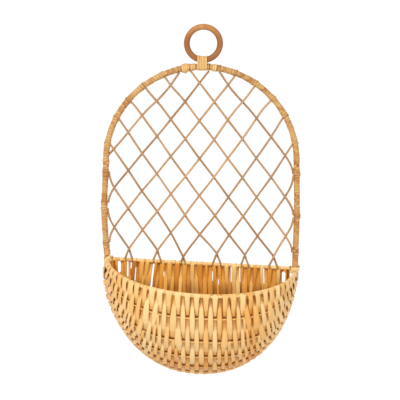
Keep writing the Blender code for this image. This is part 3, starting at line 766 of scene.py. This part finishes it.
def build_crossbar():
    """Stick from ear to ear, with the back strands' turns over it."""
    bundle = Bundle()
    xs = np.linspace(-EAR_X + POLE_R, EAR_X - POLE_R, BAR_STEPS)
    centre = spots(xs + CENTRE_X, 0, ear_z(xs) + noise(BAR_STEPS, "crossbar"))
    bundle.sweep(centre, FRONT, BAR_R, BAR_R, ROUND, tint=0.8)
    share = np.linspace(0, 1, BAR_TURN_STEPS)
    angles = (1.8 * share - 0.4) * pi
    ease = limited(2 * share - 1)
    normal = spots(0, -np.cos(angles), np.sin(angles))
    for left, right in zip(SEAMS, SEAMS[1:]):
        width = right[0] - left[0]
        x = (left[0] + right[0]) / 2 + 0.5 * width * ease + RNG.normal(0, BAR_TURN_SHIFT)
        lift = RNG.normal(0, BAR_TURN_LIFT)
        reach = BAR_R + GAP + STRAND_T / 2 + abs(lift)
        centre = spots(x + CENTRE_X, 0, ear_z(x)) + normal * reach
        half = width * BAR_TURN_WIDTH * (0.8 + 0.2 * np.sin(pi * share))
        bundle.sweep(centre, normal, half, STRAND_T / 2.6, tint=vary("crossbar"),
                     shade=edge_shade(0.30, 6))
    bundle.object("crossbar", "straw_cane", "back_crossbar")


# Frame pole and its wrap

SIDE_BOW = {-1: 3.6 * MM, 1: 1.5 * MM}
WRAP_R = 4.2 * MM
WRAP_RIDGE = 0.55 * MM
WRAP_PITCH = 4.4 * MM
WRAP_STEP = 0.45 * MM
WRAP_SIDES = 20
WRAP_SWELL = 0.16 * MM
# Swell of the three turns at a reed's tie
TIE_SWELL = np.array((0.35, 0.7, 0.3)) * MM
WRAP_TINT_SPREAD = 0.22
# Painted shade in the grooves between the wrap's turns, and darker towards the arch's top
LEAST_GROOVE = 0.15
GROOVE_DEEP = 0.9
GROOVE_SHADE = 0.25
ARCH_SHADE = 0.10
POLE_STEP = 3 * MM
HOOP_STEPS = 140
WOUND_STEPS = 26


def side_half(side, drop):
    """Half width of the frame on one side, at drops below the arch's foot."""
    share = limited(drop / SIDE_DROP)
    return ARCH_RADIUS + (EAR_X - ARCH_RADIUS) * eased(share) + SIDE_BOW[side] * np.sin(pi * share) ** 1.5


def side_line(side, step):
    """Centre line of one side of the frame, from the arch down to its ear."""
    length = ARCH_Z - ear_z(side * EAR_X)
    drop = np.linspace(0, length, int(length / step), endpoint=False)
    return spots(side * side_half(side, drop), 0, ARCH_Z - drop)


def frame_path(step):
    """Centre line of the wrapped frame, from ear to ear over the arch."""
    angle = np.linspace(-pi / 2, pi / 2, int(pi * ARCH_RADIUS / step))[1:-1]
    arch = spots(ARCH_RADIUS * np.sin(angle), 0, ARCH_Z + ARCH_RADIUS * np.cos(angle))
    path = np.concatenate([side_line(-1, step)[::-1], arch, side_line(1, step)])
    path[:, 0] += CENTRE_X
    return path


FRAME = frame_path(WRAP_STEP)
FRAME_ALONG = unit(np.gradient(FRAME, axis=0))


def build_wrap(ties):
    """Cane wound round the frame: one long helical ridge, fuller beside each reed's tie, with painted shade
    in the grooves between turns and towards the arch's top.
    """
    side = np.cross(FRONT, FRAME_ALONG)
    steps = norm(np.diff(FRAME, axis=0), axis=1)
    along = np.concatenate([[0], np.cumsum(steps)])
    turns = along / WRAP_PITCH + noise(len(FRAME), "wrap")
    angle = circle(WRAP_SIDES)
    phase = turns[:, None] + angle[None] / (2 * pi)
    number = np.floor(phase).astype(int)
    share = phase - number
    dip = np.abs(2 * share - 1) ** 6
    swell = RNG.normal(0, WRAP_SWELL, number.max() + 2)
    for tie in ties:
        turn = number[tie, 0]
        swell[turn - 1:turn + 2] += TIE_SWELL
    tint = limited(0.5 + RNG.normal(0, WRAP_TINT_SPREAD, number.max() + 2)[number])
    groove = LEAST_GROOVE + (1 - LEAST_GROOVE) * RNG.random(number.max() + 3) ** 2
    groove = np.where(share < 0.5, groove[number], groove[number + 1])
    radius = WRAP_R + (WRAP_RIDGE + swell[number]) * (1 - dip)
    points = (FRAME[:, None] + FRONT * (radius * np.cos(angle))[..., None]
              + side[:, None] * (radius * np.sin(angle))[..., None])
    dim = 1 - ARCH_SHADE * limited((FRAME[:, 2:] - ARCH_Z) / ARCH_RADIUS) ** 2
    bundle = Bundle()
    bundle.grid(points, False, along=angle[None] * WRAP_R + number * 0.3, across=(share - 0.5) * WRAP_PITCH,
                tint=tint, deep=GROOVE_DEEP * groove * dip, shade=(1 - GROOVE_SHADE * dip) * dim)
    bundle.object("frame_wrap", "cane_wrap", "frame_wrap_arch", "frame_wrap_left", "frame_wrap_right")


def build_pole():
    """The pole itself, seen at the foot hoop between the strands, darkened all along with painted shade."""
    hoop = wall(np.linspace(0, pi, HOOP_STEPS), 0.0)
    path = np.concatenate([frame_path(POLE_STEP), hoop[::-1][1:-1]])
    add_rod("pole", "cane_wrap", "frame_pole", path, FRONT, POLE_R, tint=0.0, deep=0.8, closed=True)


def turned(axis, out, angle):
    """Directions at angles round an axis, from its outer side."""
    return out * np.cos(angle)[:, None] + np.cross(axis, out) * np.sin(angle)[:, None]


def wound(bundle, middle, axis, out, turns, radius, half, pitch, thick=0.45, profile=FLAT,
          slant=0.0, start=pi, **looks):
    """Cane wound round an axis; its half width, pitch and half thickness are in millimetres."""
    half, pitch, thick = half * MM, pitch * MM, thick * MM
    share = np.linspace(0, 1, int(WOUND_STEPS * turns))
    angle = start + 2 * pi * turns * share
    normal = turned(axis, out, angle)
    along = (share - 0.5) * pitch * turns + slant * np.sin(angle)
    centre = middle + axis * along[:, None] + normal * radius
    bundle.sweep(centre, normal, half, thick, profile, shade=edge_shade(0.35, 4, profile), **looks)


# Lattice

REED_R = 1.68 * MM
REED_ROWS = 80
END_ROWS = 0.08
LEAST_TINT = 0.3
REEDS_EACH_WAY = 9
SIDE_BEND = 4.6 * MM
SIDE_RUN = 8.5 * MM
SIDE_FADE = 10 * MM
LATTICE_TOP_Z = -82.15 * MM
LATTICE_ROWS = 9.7
LAST_ROW = 9
# First row, last one and count of the places at which a reed's ends are looked for
ROW_TABLE = (-4, 14, 900)
LATTICE_ROW = (LATTICE_TOP_Z - EAR_Z) / LATTICE_ROWS
HALF_PITCH = 22.17 * MM
LATTICE_SHIFT = -2.8 * MM
EDGE_LIFT = 20 * MM
LIFT_FROM_ROW = 1.3
TILT_SHARE = 1.6
SAG = 9 * MM
SAG_SHARE = 0.38
SAG_PEAK = 0.82
SAG_PLACE = -25 * MM
SAG_SPAN = 22 * MM
SAG_FULL = 0.93
FOOT_SPREAD = 4.6 * MM
FOOT_SPREAD_FROM = -15 * MM
FOOT_SPREAD_RUN = 25 * MM
ARCH_DIP = 2.2
ARCH_DIP_ROWS = 0.8
ARCH_DIP_SPAN = 60 * MM
TIE_SLANT = 0.8 * MM


def reed_line(way, index, rows):
    """Centre line of a reed in the lattice plane at rows counted from the lattice's top."""
    place = (2 - 2 * index) if way > 0 else (2 * index - 2)
    spread = np.minimum(rows, LAST_ROW) + 0.5 * np.maximum(rows - LAST_ROW, 0)
    x = LATTICE_SHIFT + (place + way * spread) * HALF_PITCH
    depth = rows / LATTICE_ROWS
    lift = (1 - depth) * (1 - np.exp(-(np.maximum(rows, 0) / LIFT_FROM_ROW) ** 4))
    lift = lift - ARCH_DIP * np.exp(-(rows / ARCH_DIP_ROWS) ** 2) * np.exp(-(x / ARCH_DIP_SPAN) ** 4)
    lift = EDGE_LIFT * (x / ARCH_RADIUS) ** 2 * lift
    tilt = EAR_TILT * x * limited(TILT_SHARE * depth)
    low = limited(depth / SAG_FULL) ** 5
    middle = np.exp(-((x - SAG_PLACE) / SAG_SPAN) ** 2)
    sag = SAG * (SAG_SHARE + SAG_PEAK * middle) * low
    right = limited((x - FOOT_SPREAD_FROM) / FOOT_SPREAD_RUN)
    x = x + FOOT_SPREAD * (right - 0.8 * middle * (1 - right)) * low
    return x, LATTICE_TOP_Z - rows * LATTICE_ROW + lift + tilt - sag


def side_room(x, z):
    """Room between a reed's centre and the wrapped frame's inner edge, and the half width there."""
    drop = ARCH_Z - z
    edge = np.where(x < 0, side_half(-1, drop), side_half(1, drop)) - WRAP_R - WRAP_RIDGE
    return edge - np.abs(x), edge


def held_in(x, z):
    """A reed's x, bent to run down along the frame's side where it would pass it."""
    room, edge = side_room(x, z)
    bent = SIDE_BEND * np.logaddexp(0, room / SIDE_BEND)
    above = limited((z - ARCH_Z) / SIDE_FADE)
    return np.sign(x) * (edge - bent * (1 - above) - room * above)


def reed_path(node, way, index):
    """Centre line of a reed from its upper tie to its lower one."""
    low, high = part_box(node)
    table = np.linspace(*ROW_TABLE)
    x, z = reed_line(way, index, table)
    first, last = np.interp((-high.z, -low.z), -z, table)
    between = table[side_room(x, z)[0] > -SIDE_RUN]
    first = between[0] if high.z < ARCH_Z else first - END_ROWS
    last = between[-1] if low.z > EAR_Z + LATTICE_ROW else last + END_ROWS
    rows = np.linspace(first, last, REED_ROWS)
    x, z = reed_line(way, index, rows)
    x = held_in(x, z) + CENTRE_X + noise(REED_ROWS, "reed")
    return spots(x, -way * (REED_R + GAP / 2) * np.cos(pi * rows), z)


def tie_reed(bundle, end, ties):
    """Turn of the reed's end round the frame, with a knot inside it, or round the crossbar."""
    away = norm(FRAME - end, axis=1)
    near = int(np.argmin(away))
    slant = RNG.normal(0, TIE_SLANT)
    if away[near] < 3 * WRAP_R:
        ties.append(near)
        middle, axis = FRAME[near], FRAME_ALONG[near]
        out = np.cross(-FRONT, axis)
        wound(bundle, middle, axis, out, 1.1, WRAP_R + WRAP_RIDGE - 0.25 * MM, 0.8, 1.2, 0.4, ROUND,
              slant, tint=vary("tie"), deep=0.35 + 0.5 * RNG.random())
        knot = middle - out * (WRAP_R + 0.6 * MM)
        wound(bundle, knot, axis, out, 1.0, 0.7 * MM, 0.7, 1.2, 0.6, ROUND, start=0.0, tint=0.1,
              deep=0.7)
    else:
        middle = spots(end[0], 0, ear_z(end[0] - CENTRE_X))
        wound(bundle, middle, RIGHT, UP, 1.1, BAR_R + STRAND_T + 0.7 * MM, 1.0, 1.6, 0.6, ROUND,
              slant, tint=vary("crossbar tie"))


def build_lattice():
    """Reeds over and under each other, each with its ties; returns the ties' places in FRAME."""
    ties = []
    for way, label in ((1, "right"), (-1, "left")):
        for index in range(REEDS_EACH_WAY):
            node = f"lattice_reed_{label}_{index + 1}"
            path = reed_path(node, way, index)
            radius = REED_R * (1 + noise(REED_ROWS, "reed radius"))
            tint = vary("reed") + noise(REED_ROWS, "reed tint")
            bundle = Bundle()
            bundle.sweep(path, FRONT, radius, radius, ROUND, tint=np.clip(tint, LEAST_TINT, 1))
            for end in (path[0], path[-1]):
                tie_reed(bundle, end, ties)
            bundle.object(f"reed_{label}_{index + 1}", "lattice_reed", node)
    return ties


# Ring, its binding and the lashings

RING_R = 25.5 * MM
RING_TUBE = 4.6 * MM
RING_FOOT_Z = -46.4 * MM
RING_STEPS = 160
RING_SIDES = 24
POLE_TOP_Z = ARCH_Z + ARCH_RADIUS
BINDING_STEPS = 64
BINDING_TURNS = 5
BINDING_PITCH = 3 * MM
BINDING_HALF = 1.45 * MM
BINDING_X = -1.6 * MM
BINDING_TOP_R = RING_TUBE + 0.9 * MM
BINDING_LOW_R = WRAP_R + WRAP_RIDGE + 0.6 * MM
BINDING_SLANT = 0.5 * MM
BAND_R = WRAP_R + WRAP_RIDGE + 0.5 * MM
BAND_STEPS = 48
# Flat turns round the arch: place from its top, how far it stands out, half width and lean in
# millimetres, tint, and darkness. Stepped turns left of the ring, lone ones beside it, right ones
STEPPED_TURNS = (
    (-28.6, 0.9, 1.6, 0.2, 0.55, 0), (-26.0, 1.6, 1.7, 0.6, 0.42, 0), (-23.0, 1.3, 1.8, 0.9, 0.50, 0),
    (-20.2, 0.4, 1.5, 0.8, 0.40, 0), (-30.4, -0.1, 0.9, 0.1, 0.1, 0.9),
)
LONE_TURNS = ((-14.6, -0.1, 1.6, 1.3, 0.5, 0), (-11.2, -0.1, 1.6, 1.1, 0.42, 0))
RIGHT_TURNS = (
    (18.6, 0.2, 1.6, 0.3, 0.6, 0), (21.8, 0.2, 1.6, 0.2, 0.68, 0), (24.0, -0.2, 0.5, 0.2, 0.1, 0.8),
)
KNOT_PLACE = -25.2 * MM
# Turns at an ear: rise from it and slant in millimetres
EAR_WRAP_TURNS = ((7.2, 1.1), (11.0, 0.6))
EAR_TURNS = ((-3.6, 2.0), (-0.4, 2.4), (2.4, 2.0))
EAR_LEAN = 0.35


def build_ring():
    angle = circle(RING_STEPS)
    out = spots(np.sin(angle), 0, np.cos(angle))
    centre = out * RING_R + spots(0, 0, RING_FOOT_Z + RING_R)
    profile = ellipse(RING_SIDES)
    # Painted shade on the ring's inner side
    painted_inner_shade = 1 - 0.20 * limited(-profile[:, 1])
    # Painted light: the ring is paler towards its top
    tint = 0.34 + 0.44 * limited(np.cos(angle)) ** 2
    bundle = Bundle()
    bundle.sweep(centre, out, RING_TUBE, RING_TUBE, profile, tint=tint, shade=painted_inner_shade[None], closed=True)
    bundle.object("ring", "ring_rattan", "hanging_ring", body="ring")


def build_ring_binding():
    """Flat turns round the ring's foot and the frame's top, with room for the ring to tilt."""
    bundle = Bundle()
    angle = circle(BINDING_STEPS)
    normal = spots(0, np.sin(angle), np.cos(angle))
    high = np.cos(angle) >= 0
    radius = np.where(high, BINDING_TOP_R, BINDING_LOW_R)
    for n in range(BINDING_TURNS):
        x = BINDING_X + (n - (BINDING_TURNS - 1) / 2) * BINDING_PITCH
        upper = RING_FOOT_Z + RING_R - sqrt(RING_R ** 2 - x ** 2)
        room = RING_R - sqrt(RING_R ** 2 - (abs(x) + BINDING_HALF) ** 2)
        z = np.where(high, upper, POLE_TOP_Z) + radius * np.cos(angle)
        y = (radius + np.where(high, room, 0)) * np.sin(angle)
        centre = spots(x + BINDING_SLANT * np.sin(angle), y, z)
        bundle.sweep(centre, normal, BINDING_HALF, 0.5 * MM, closed=True, tint=vary("binding"),
                     shade=edge_shade(0.30, 4))
    bundle.object("binding", "pale_cane", "ring_binding")


def arch_place(place):
    """Point, direction and outward side of the frame at a place along the arch from its top."""
    angle = place / ARCH_RADIUS
    out = spots(sin(angle), 0, cos(angle))
    axis = spots(cos(angle), 0, -sin(angle))
    return out * ARCH_RADIUS + spots(CENTRE_X, 0, ARCH_Z), axis, out


def add_bands(bundle, turns):
    """Flat closed turns of cane round the arch."""
    angle = circle(BAND_STEPS)
    for place, rise, half, lean, tint, deep in turns:
        middle, axis, out = arch_place(place * MM)
        normal = turned(axis, out, angle)
        centre = middle + axis * (lean * MM * np.cos(angle))[:, None] + normal * (BAND_R + rise * MM)
        bundle.sweep(centre, normal, half * MM, 0.55 * MM, closed=True, tint=tint, deep=deep,
                     shade=edge_shade(0.40, 5))


def build_top_lashings():
    """Stepped and lone turns left of the ring, with a knot under them, and the right ones."""
    bundle = Bundle()
    add_bands(bundle, STEPPED_TURNS)
    middle, axis, out = arch_place(KNOT_PLACE)
    wound(bundle, middle - out * (BAND_R + 1.6 * MM), axis, out, 1.2, 0.9 * MM, 1.2, 1.0, 0.7, start=0.0,
          tint=0.35)
    add_bands(bundle, LONE_TURNS)
    bundle.object("top_tie_left", "pale_cane", "top_lashing_left")
    bundle = Bundle()
    add_bands(bundle, RIGHT_TURNS)
    bundle.object("top_tie_right", "pale_cane", "top_lashing_right")


def build_ear_lashings():
    """Turns of cane that tie the crossbar and the rim's end to the frame."""
    for side, label in ((-1, "left"), (1, "right")):
        bundle = Bundle()
        x = side * EAR_X
        ear = spots(x + CENTRE_X, 0, ear_z(x))
        out = RIGHT * side
        for rise, slant in EAR_WRAP_TURNS:
            wound(bundle, ear + UP * rise * MM, UP, out, 1.2, POLE_R + 1.2 * MM, 2.2, 2.6,
                  slant=slant * MM, tint=vary("ear wrap"))
        wound(bundle, ear + UP * 4.2 * MM, UP, out, 1.1, POLE_R + 1 * MM, 1.0, 0.6,
              slant=1.6 * MM, tint=0.0, deep=0.9)
        wound(bundle, ear - out * 7.6 * MM + UP * 1.8 * MM, out, UP, 1.2, BAR_R + 1.1 * MM, 1.1, 1.2,
              tint=0.0, deep=0.9)
        tied = ear + FRONT * 2.6 * MM - out * 0.6 * MM
        lean = unit(UP + out * EAR_LEAN)
        for rise, slant in EAR_TURNS:
            wound(bundle, tied + lean * rise * MM, lean, FRONT, 1.15, POLE_R + RIM_R + 0.4 * MM, 2.0, 2.2,
                  slant=slant * MM, tint=vary("ear tie"))
        bundle.object(f"ear_tie_{label}", "pale_cane", f"ear_lashing_{label}")


# Materials

# For each slot: places on the ramp of tints with their sRGB colours, the colour of painted shade where a
# strand lies deep (also of the dark knots and turns), roughness, strength of the fibres' relief, and how far
# the tint wanders along a strand
FINISHES = {
    "straw_cane": (((0.0, 226, 146, 52), (0.3, 241, 184, 104), (0.55, 248, 206, 140), (0.8, 252, 217, 156),
                    (1.0, 248, 210, 148)), (142, 82, 24), 0.42, 0.3, 0.3),
    # The back panel's amber is partly the cane's own inner side and partly painted shade inside the basket
    "amber_cane": (((0.0, 190, 114, 34), (0.3, 234, 160, 64), (0.6, 250, 184, 82), (0.85, 254, 206, 120),
                    (1.0, 255, 226, 160)), (122, 66, 20), 0.5, 0.35, 0.3),
    "cane_wrap": (((0.0, 172, 110, 52), (0.35, 200, 146, 82), (0.6, 214, 166, 104), (0.8, 218, 176, 112),
                   (1.0, 200, 166, 88)), (128, 84, 30), 0.42, 0.3, 0.3),
    "pale_cane": (((0.0, 214, 156, 90), (0.5, 230, 184, 118), (1.0, 252, 222, 154)),
                  (160, 100, 44), 0.42, 0.3, 0.3),
    "lattice_reed": (((0.0, 120, 82, 44), (0.3, 162, 120, 80), (0.6, 190, 148, 106), (1.0, 212, 170, 118)),
                     (96, 56, 24), 0.55, 0.3, 0.3),
    "ring_rattan": (((0.0, 138, 80, 36), (0.5, 172, 110, 54), (1.0, 206, 150, 88)),
                    (150, 84, 40), 0.38, 0.15, 0.8),
}
# Bumps per metre along a strand and across it, and detail
FIBRE = (45.0, 1500.0, 3.0)
PATCH = (28.0, 180.0, 2.0)
FIBRE_TINTS = ((0.30, (0.84, 0.80, 0.74, 1)), (0.62, (1.0, 1.0, 1.0, 1)))
FIBRE_SHARE = 0.8
FIBRE_HEIGHT = 0.25 * MM
SEED_SCALE = 40.0
SPECULAR = 0.35
WHITE = (1, 1, 1, 1)


def srgb(*colour):
    """Linear colour of an sRGB one given in 0 to 255."""
    parts = (value / 255 for value in colour)
    return (*(p / 12.92 if p <= 0.04045 else ((p + 0.055) / 1.055) ** 2.4 for p in parts), 1.0)


class Nodes:
    """The nodes of a material or world under construction."""

    def __init__(self, owner):
        owner.use_nodes = True
        self.tree = owner.node_tree

    def feed(self, node, inputs):
        for key, value in inputs:
            if hasattr(value, "links"):
                self.tree.links.new(value, node.inputs[key])
            else:
                node.inputs[key].default_value = value

    def shade(self, *inputs):
        self.feed(self.tree.nodes["Principled BSDF"], inputs)

    def add(self, kind, *inputs, **settings):
        node = self.tree.nodes.new(kind)
        for key, value in settings.items():
            setattr(node, key, value)
        self.feed(node, inputs)
        return node

    def maths(self, operation, first, second):
        return self.add("ShaderNodeMath", (0, first), (1, second), operation=operation).outputs[0]

    def vector(self, x, y, z):
        return self.add("ShaderNodeCombineXYZ", (0, x), (1, y), (2, z)).outputs[0]

    def strand_noise(self, along, across, seed, scales):
        """Noise drawn out along a strand, different for each seed."""
        along, across = (self.maths("MULTIPLY", *pair) for pair in zip((along, across), scales))
        vector = self.vector(along, across, seed)
        node = self.add("ShaderNodeTexNoise", ("Vector", vector), ("Scale", 1.0), ("Detail", scales[2]))
        return node.outputs["Fac"]

    def ramp(self, value, stops):
        node = self.add("ShaderNodeValToRGB", (0, value))
        while len(node.color_ramp.elements) < len(stops):
            node.color_ramp.elements.new(0.5)
        for element, (place, colour) in zip(node.color_ramp.elements, stops):
            element.position = place
            element.color = colour
        return node.outputs[0]

    def mix(self, share, first, second, blend="MIX"):
        return self.add("ShaderNodeMix", (0, share), (6, first), (7, second),
                        data_type="RGBA", blend_type=blend).outputs[2]


def cane_material(name, tints, deep, rough, bump, blotch):
    """Fibrous cane: tint from strand to strand, fine fibres along it, darker with painted shade where it lies
    deep and at its edges.
    """
    material = bpy.data.materials.new(name)
    made = Nodes(material)
    along, across, tint, deepness, shade = (
        made.add("ShaderNodeAttribute", attribute_name=key).outputs["Fac"] for key in LOOKS)
    seed = made.maths("MULTIPLY", tint, SEED_SCALE)
    fibre = made.strand_noise(along, across, seed, FIBRE)
    patch = made.strand_noise(along, across, seed, PATCH)
    place = made.maths("ADD", tint, made.maths("MULTIPLY", made.maths("SUBTRACT", patch, 0.5), blotch))
    colour = made.ramp(place, [(stop[0], srgb(*stop[1:])) for stop in tints])
    colour = made.mix(FIBRE_SHARE, colour, made.ramp(fibre, FIBRE_TINTS), "MULTIPLY")
    deepness = made.add("ShaderNodeClamp", (0, deepness)).outputs[0]
    colour = made.mix(deepness, colour, srgb(*deep))
    colour = made.mix(1.0, colour, made.vector(shade, shade, shade), "MULTIPLY")
    height = made.add("ShaderNodeBump", ("Strength", bump), ("Distance", FIBRE_HEIGHT), ("Height", fibre))
    made.shade(("Base Color", colour), ("Roughness", rough), ("Specular IOR Level", SPECULAR),
               ("Normal", height.outputs[0]))
    return material


FINISH = {slot: cane_material(slot, *looks) for slot, looks in FINISHES.items()}


# Stage, lights and camera

CAMERA_AIM = Vector((-0.0053, 0.0, -0.2665))
CAMERA_REACH = 3.0
CAMERA_RISE = 12 * pi / 180
CAMERA_END = 200
SEEN_WIDTH = 0.624
SENSOR = 36.0
FLOOR_Z = -1.2
FLOOR_HALF = 40.0
FLOOR_COLOUR = (0.85, 0.85, 0.85, 1)
FLOOR_ROUGHNESS = 0.9
FLOOR_LIFT = 0.45
SKY_COLOUR = (1.0, 0.985, 0.96, 1)
SKY_STRENGTH = 0.66
# Name, place, size and power of each lamp
LAMPS = (("key", (-1.2, -1.8, 1.2), 1.2, 37), ("fill", (1.4, -1.6, 0.4), 1.4, 12))


def seen_directly(made):
    """1 for what the camera, gloss and glass see, and 0 for the light that falls on the object."""
    ray = made.add("ShaderNodeLightPath").outputs
    seen = made.maths("MAXIMUM", ray["Is Camera Ray"], ray["Is Glossy Ray"])
    return made.maths("MAXIMUM", seen, ray["Is Transmission Ray"])


def build_world():
    world = bpy.data.worlds.new("studio")
    bpy.context.scene.world = world
    made = Nodes(world)
    made.tree.nodes.clear()
    sky = made.add("ShaderNodeBackground", (0, SKY_COLOUR), (1, SKY_STRENGTH))
    seen = made.add("ShaderNodeBackground", (0, WHITE), (1, 1.0))
    mix = made.add("ShaderNodeMixShader", (0, seen_directly(made)), (1, sky.outputs[0]), (2, seen.outputs[0]))
    made.add("ShaderNodeOutputWorld", (0, mix.outputs[0]))


def build_floor():
    mesh = bpy.data.meshes.new("floor")
    corners = [(x * FLOOR_HALF, y * FLOOR_HALF, FLOOR_Z) for x, y in ((-1, -1), (1, -1), (1, 1), (-1, 1))]
    mesh.from_pydata(corners, [], [(0, 1, 2, 3)])
    material = bpy.data.materials.new("pale_floor")
    made = Nodes(material)
    lift = made.maths("MULTIPLY", seen_directly(made), FLOOR_LIFT)
    made.shade(("Base Color", FLOOR_COLOUR), ("Roughness", FLOOR_ROUGHNESS), ("Emission Color", WHITE),
               ("Emission Strength", lift))
    mesh.materials.append(material)
    floor = placed("floor", mesh)


def add_lamp(name, place, size, power):
    light = bpy.data.lights.new(name, "AREA")
    light.shape = "DISK"
    light.size = size
    light.energy = power
    lamp = placed(name, light)
    lamp.location = place
    lamp.rotation_euler = (CAMERA_AIM - Vector(place)).to_track_quat("-Z", "Y").to_euler()


def build_camera():
    camera = bpy.data.cameras.new("camera")
    camera.sensor_width = SENSOR
    camera.lens = SENSOR * CAMERA_REACH / SEEN_WIDTH
    camera.clip_end = CAMERA_END
    eye = placed("camera", camera)
    back = Vector((0, -cos(CAMERA_RISE), sin(CAMERA_RISE)))
    eye.location = CAMERA_AIM + back * CAMERA_REACH
    eye.rotation_euler = (-back).to_track_quat("-Z", "Y").to_euler()
    bpy.context.scene.camera = eye


bpy.context.scene.view_settings.view_transform = "Standard"
build_camera()
build_front_weave()
build_front_rods()
build_back_panel()
build_crossbar()
build_wrap(build_lattice())
build_pole()
build_ring()
build_ring_binding()
build_top_lashings()
build_ear_lashings()
build_world()
build_floor()
for lamp in LAMPS:
    add_lamp(*lamp)
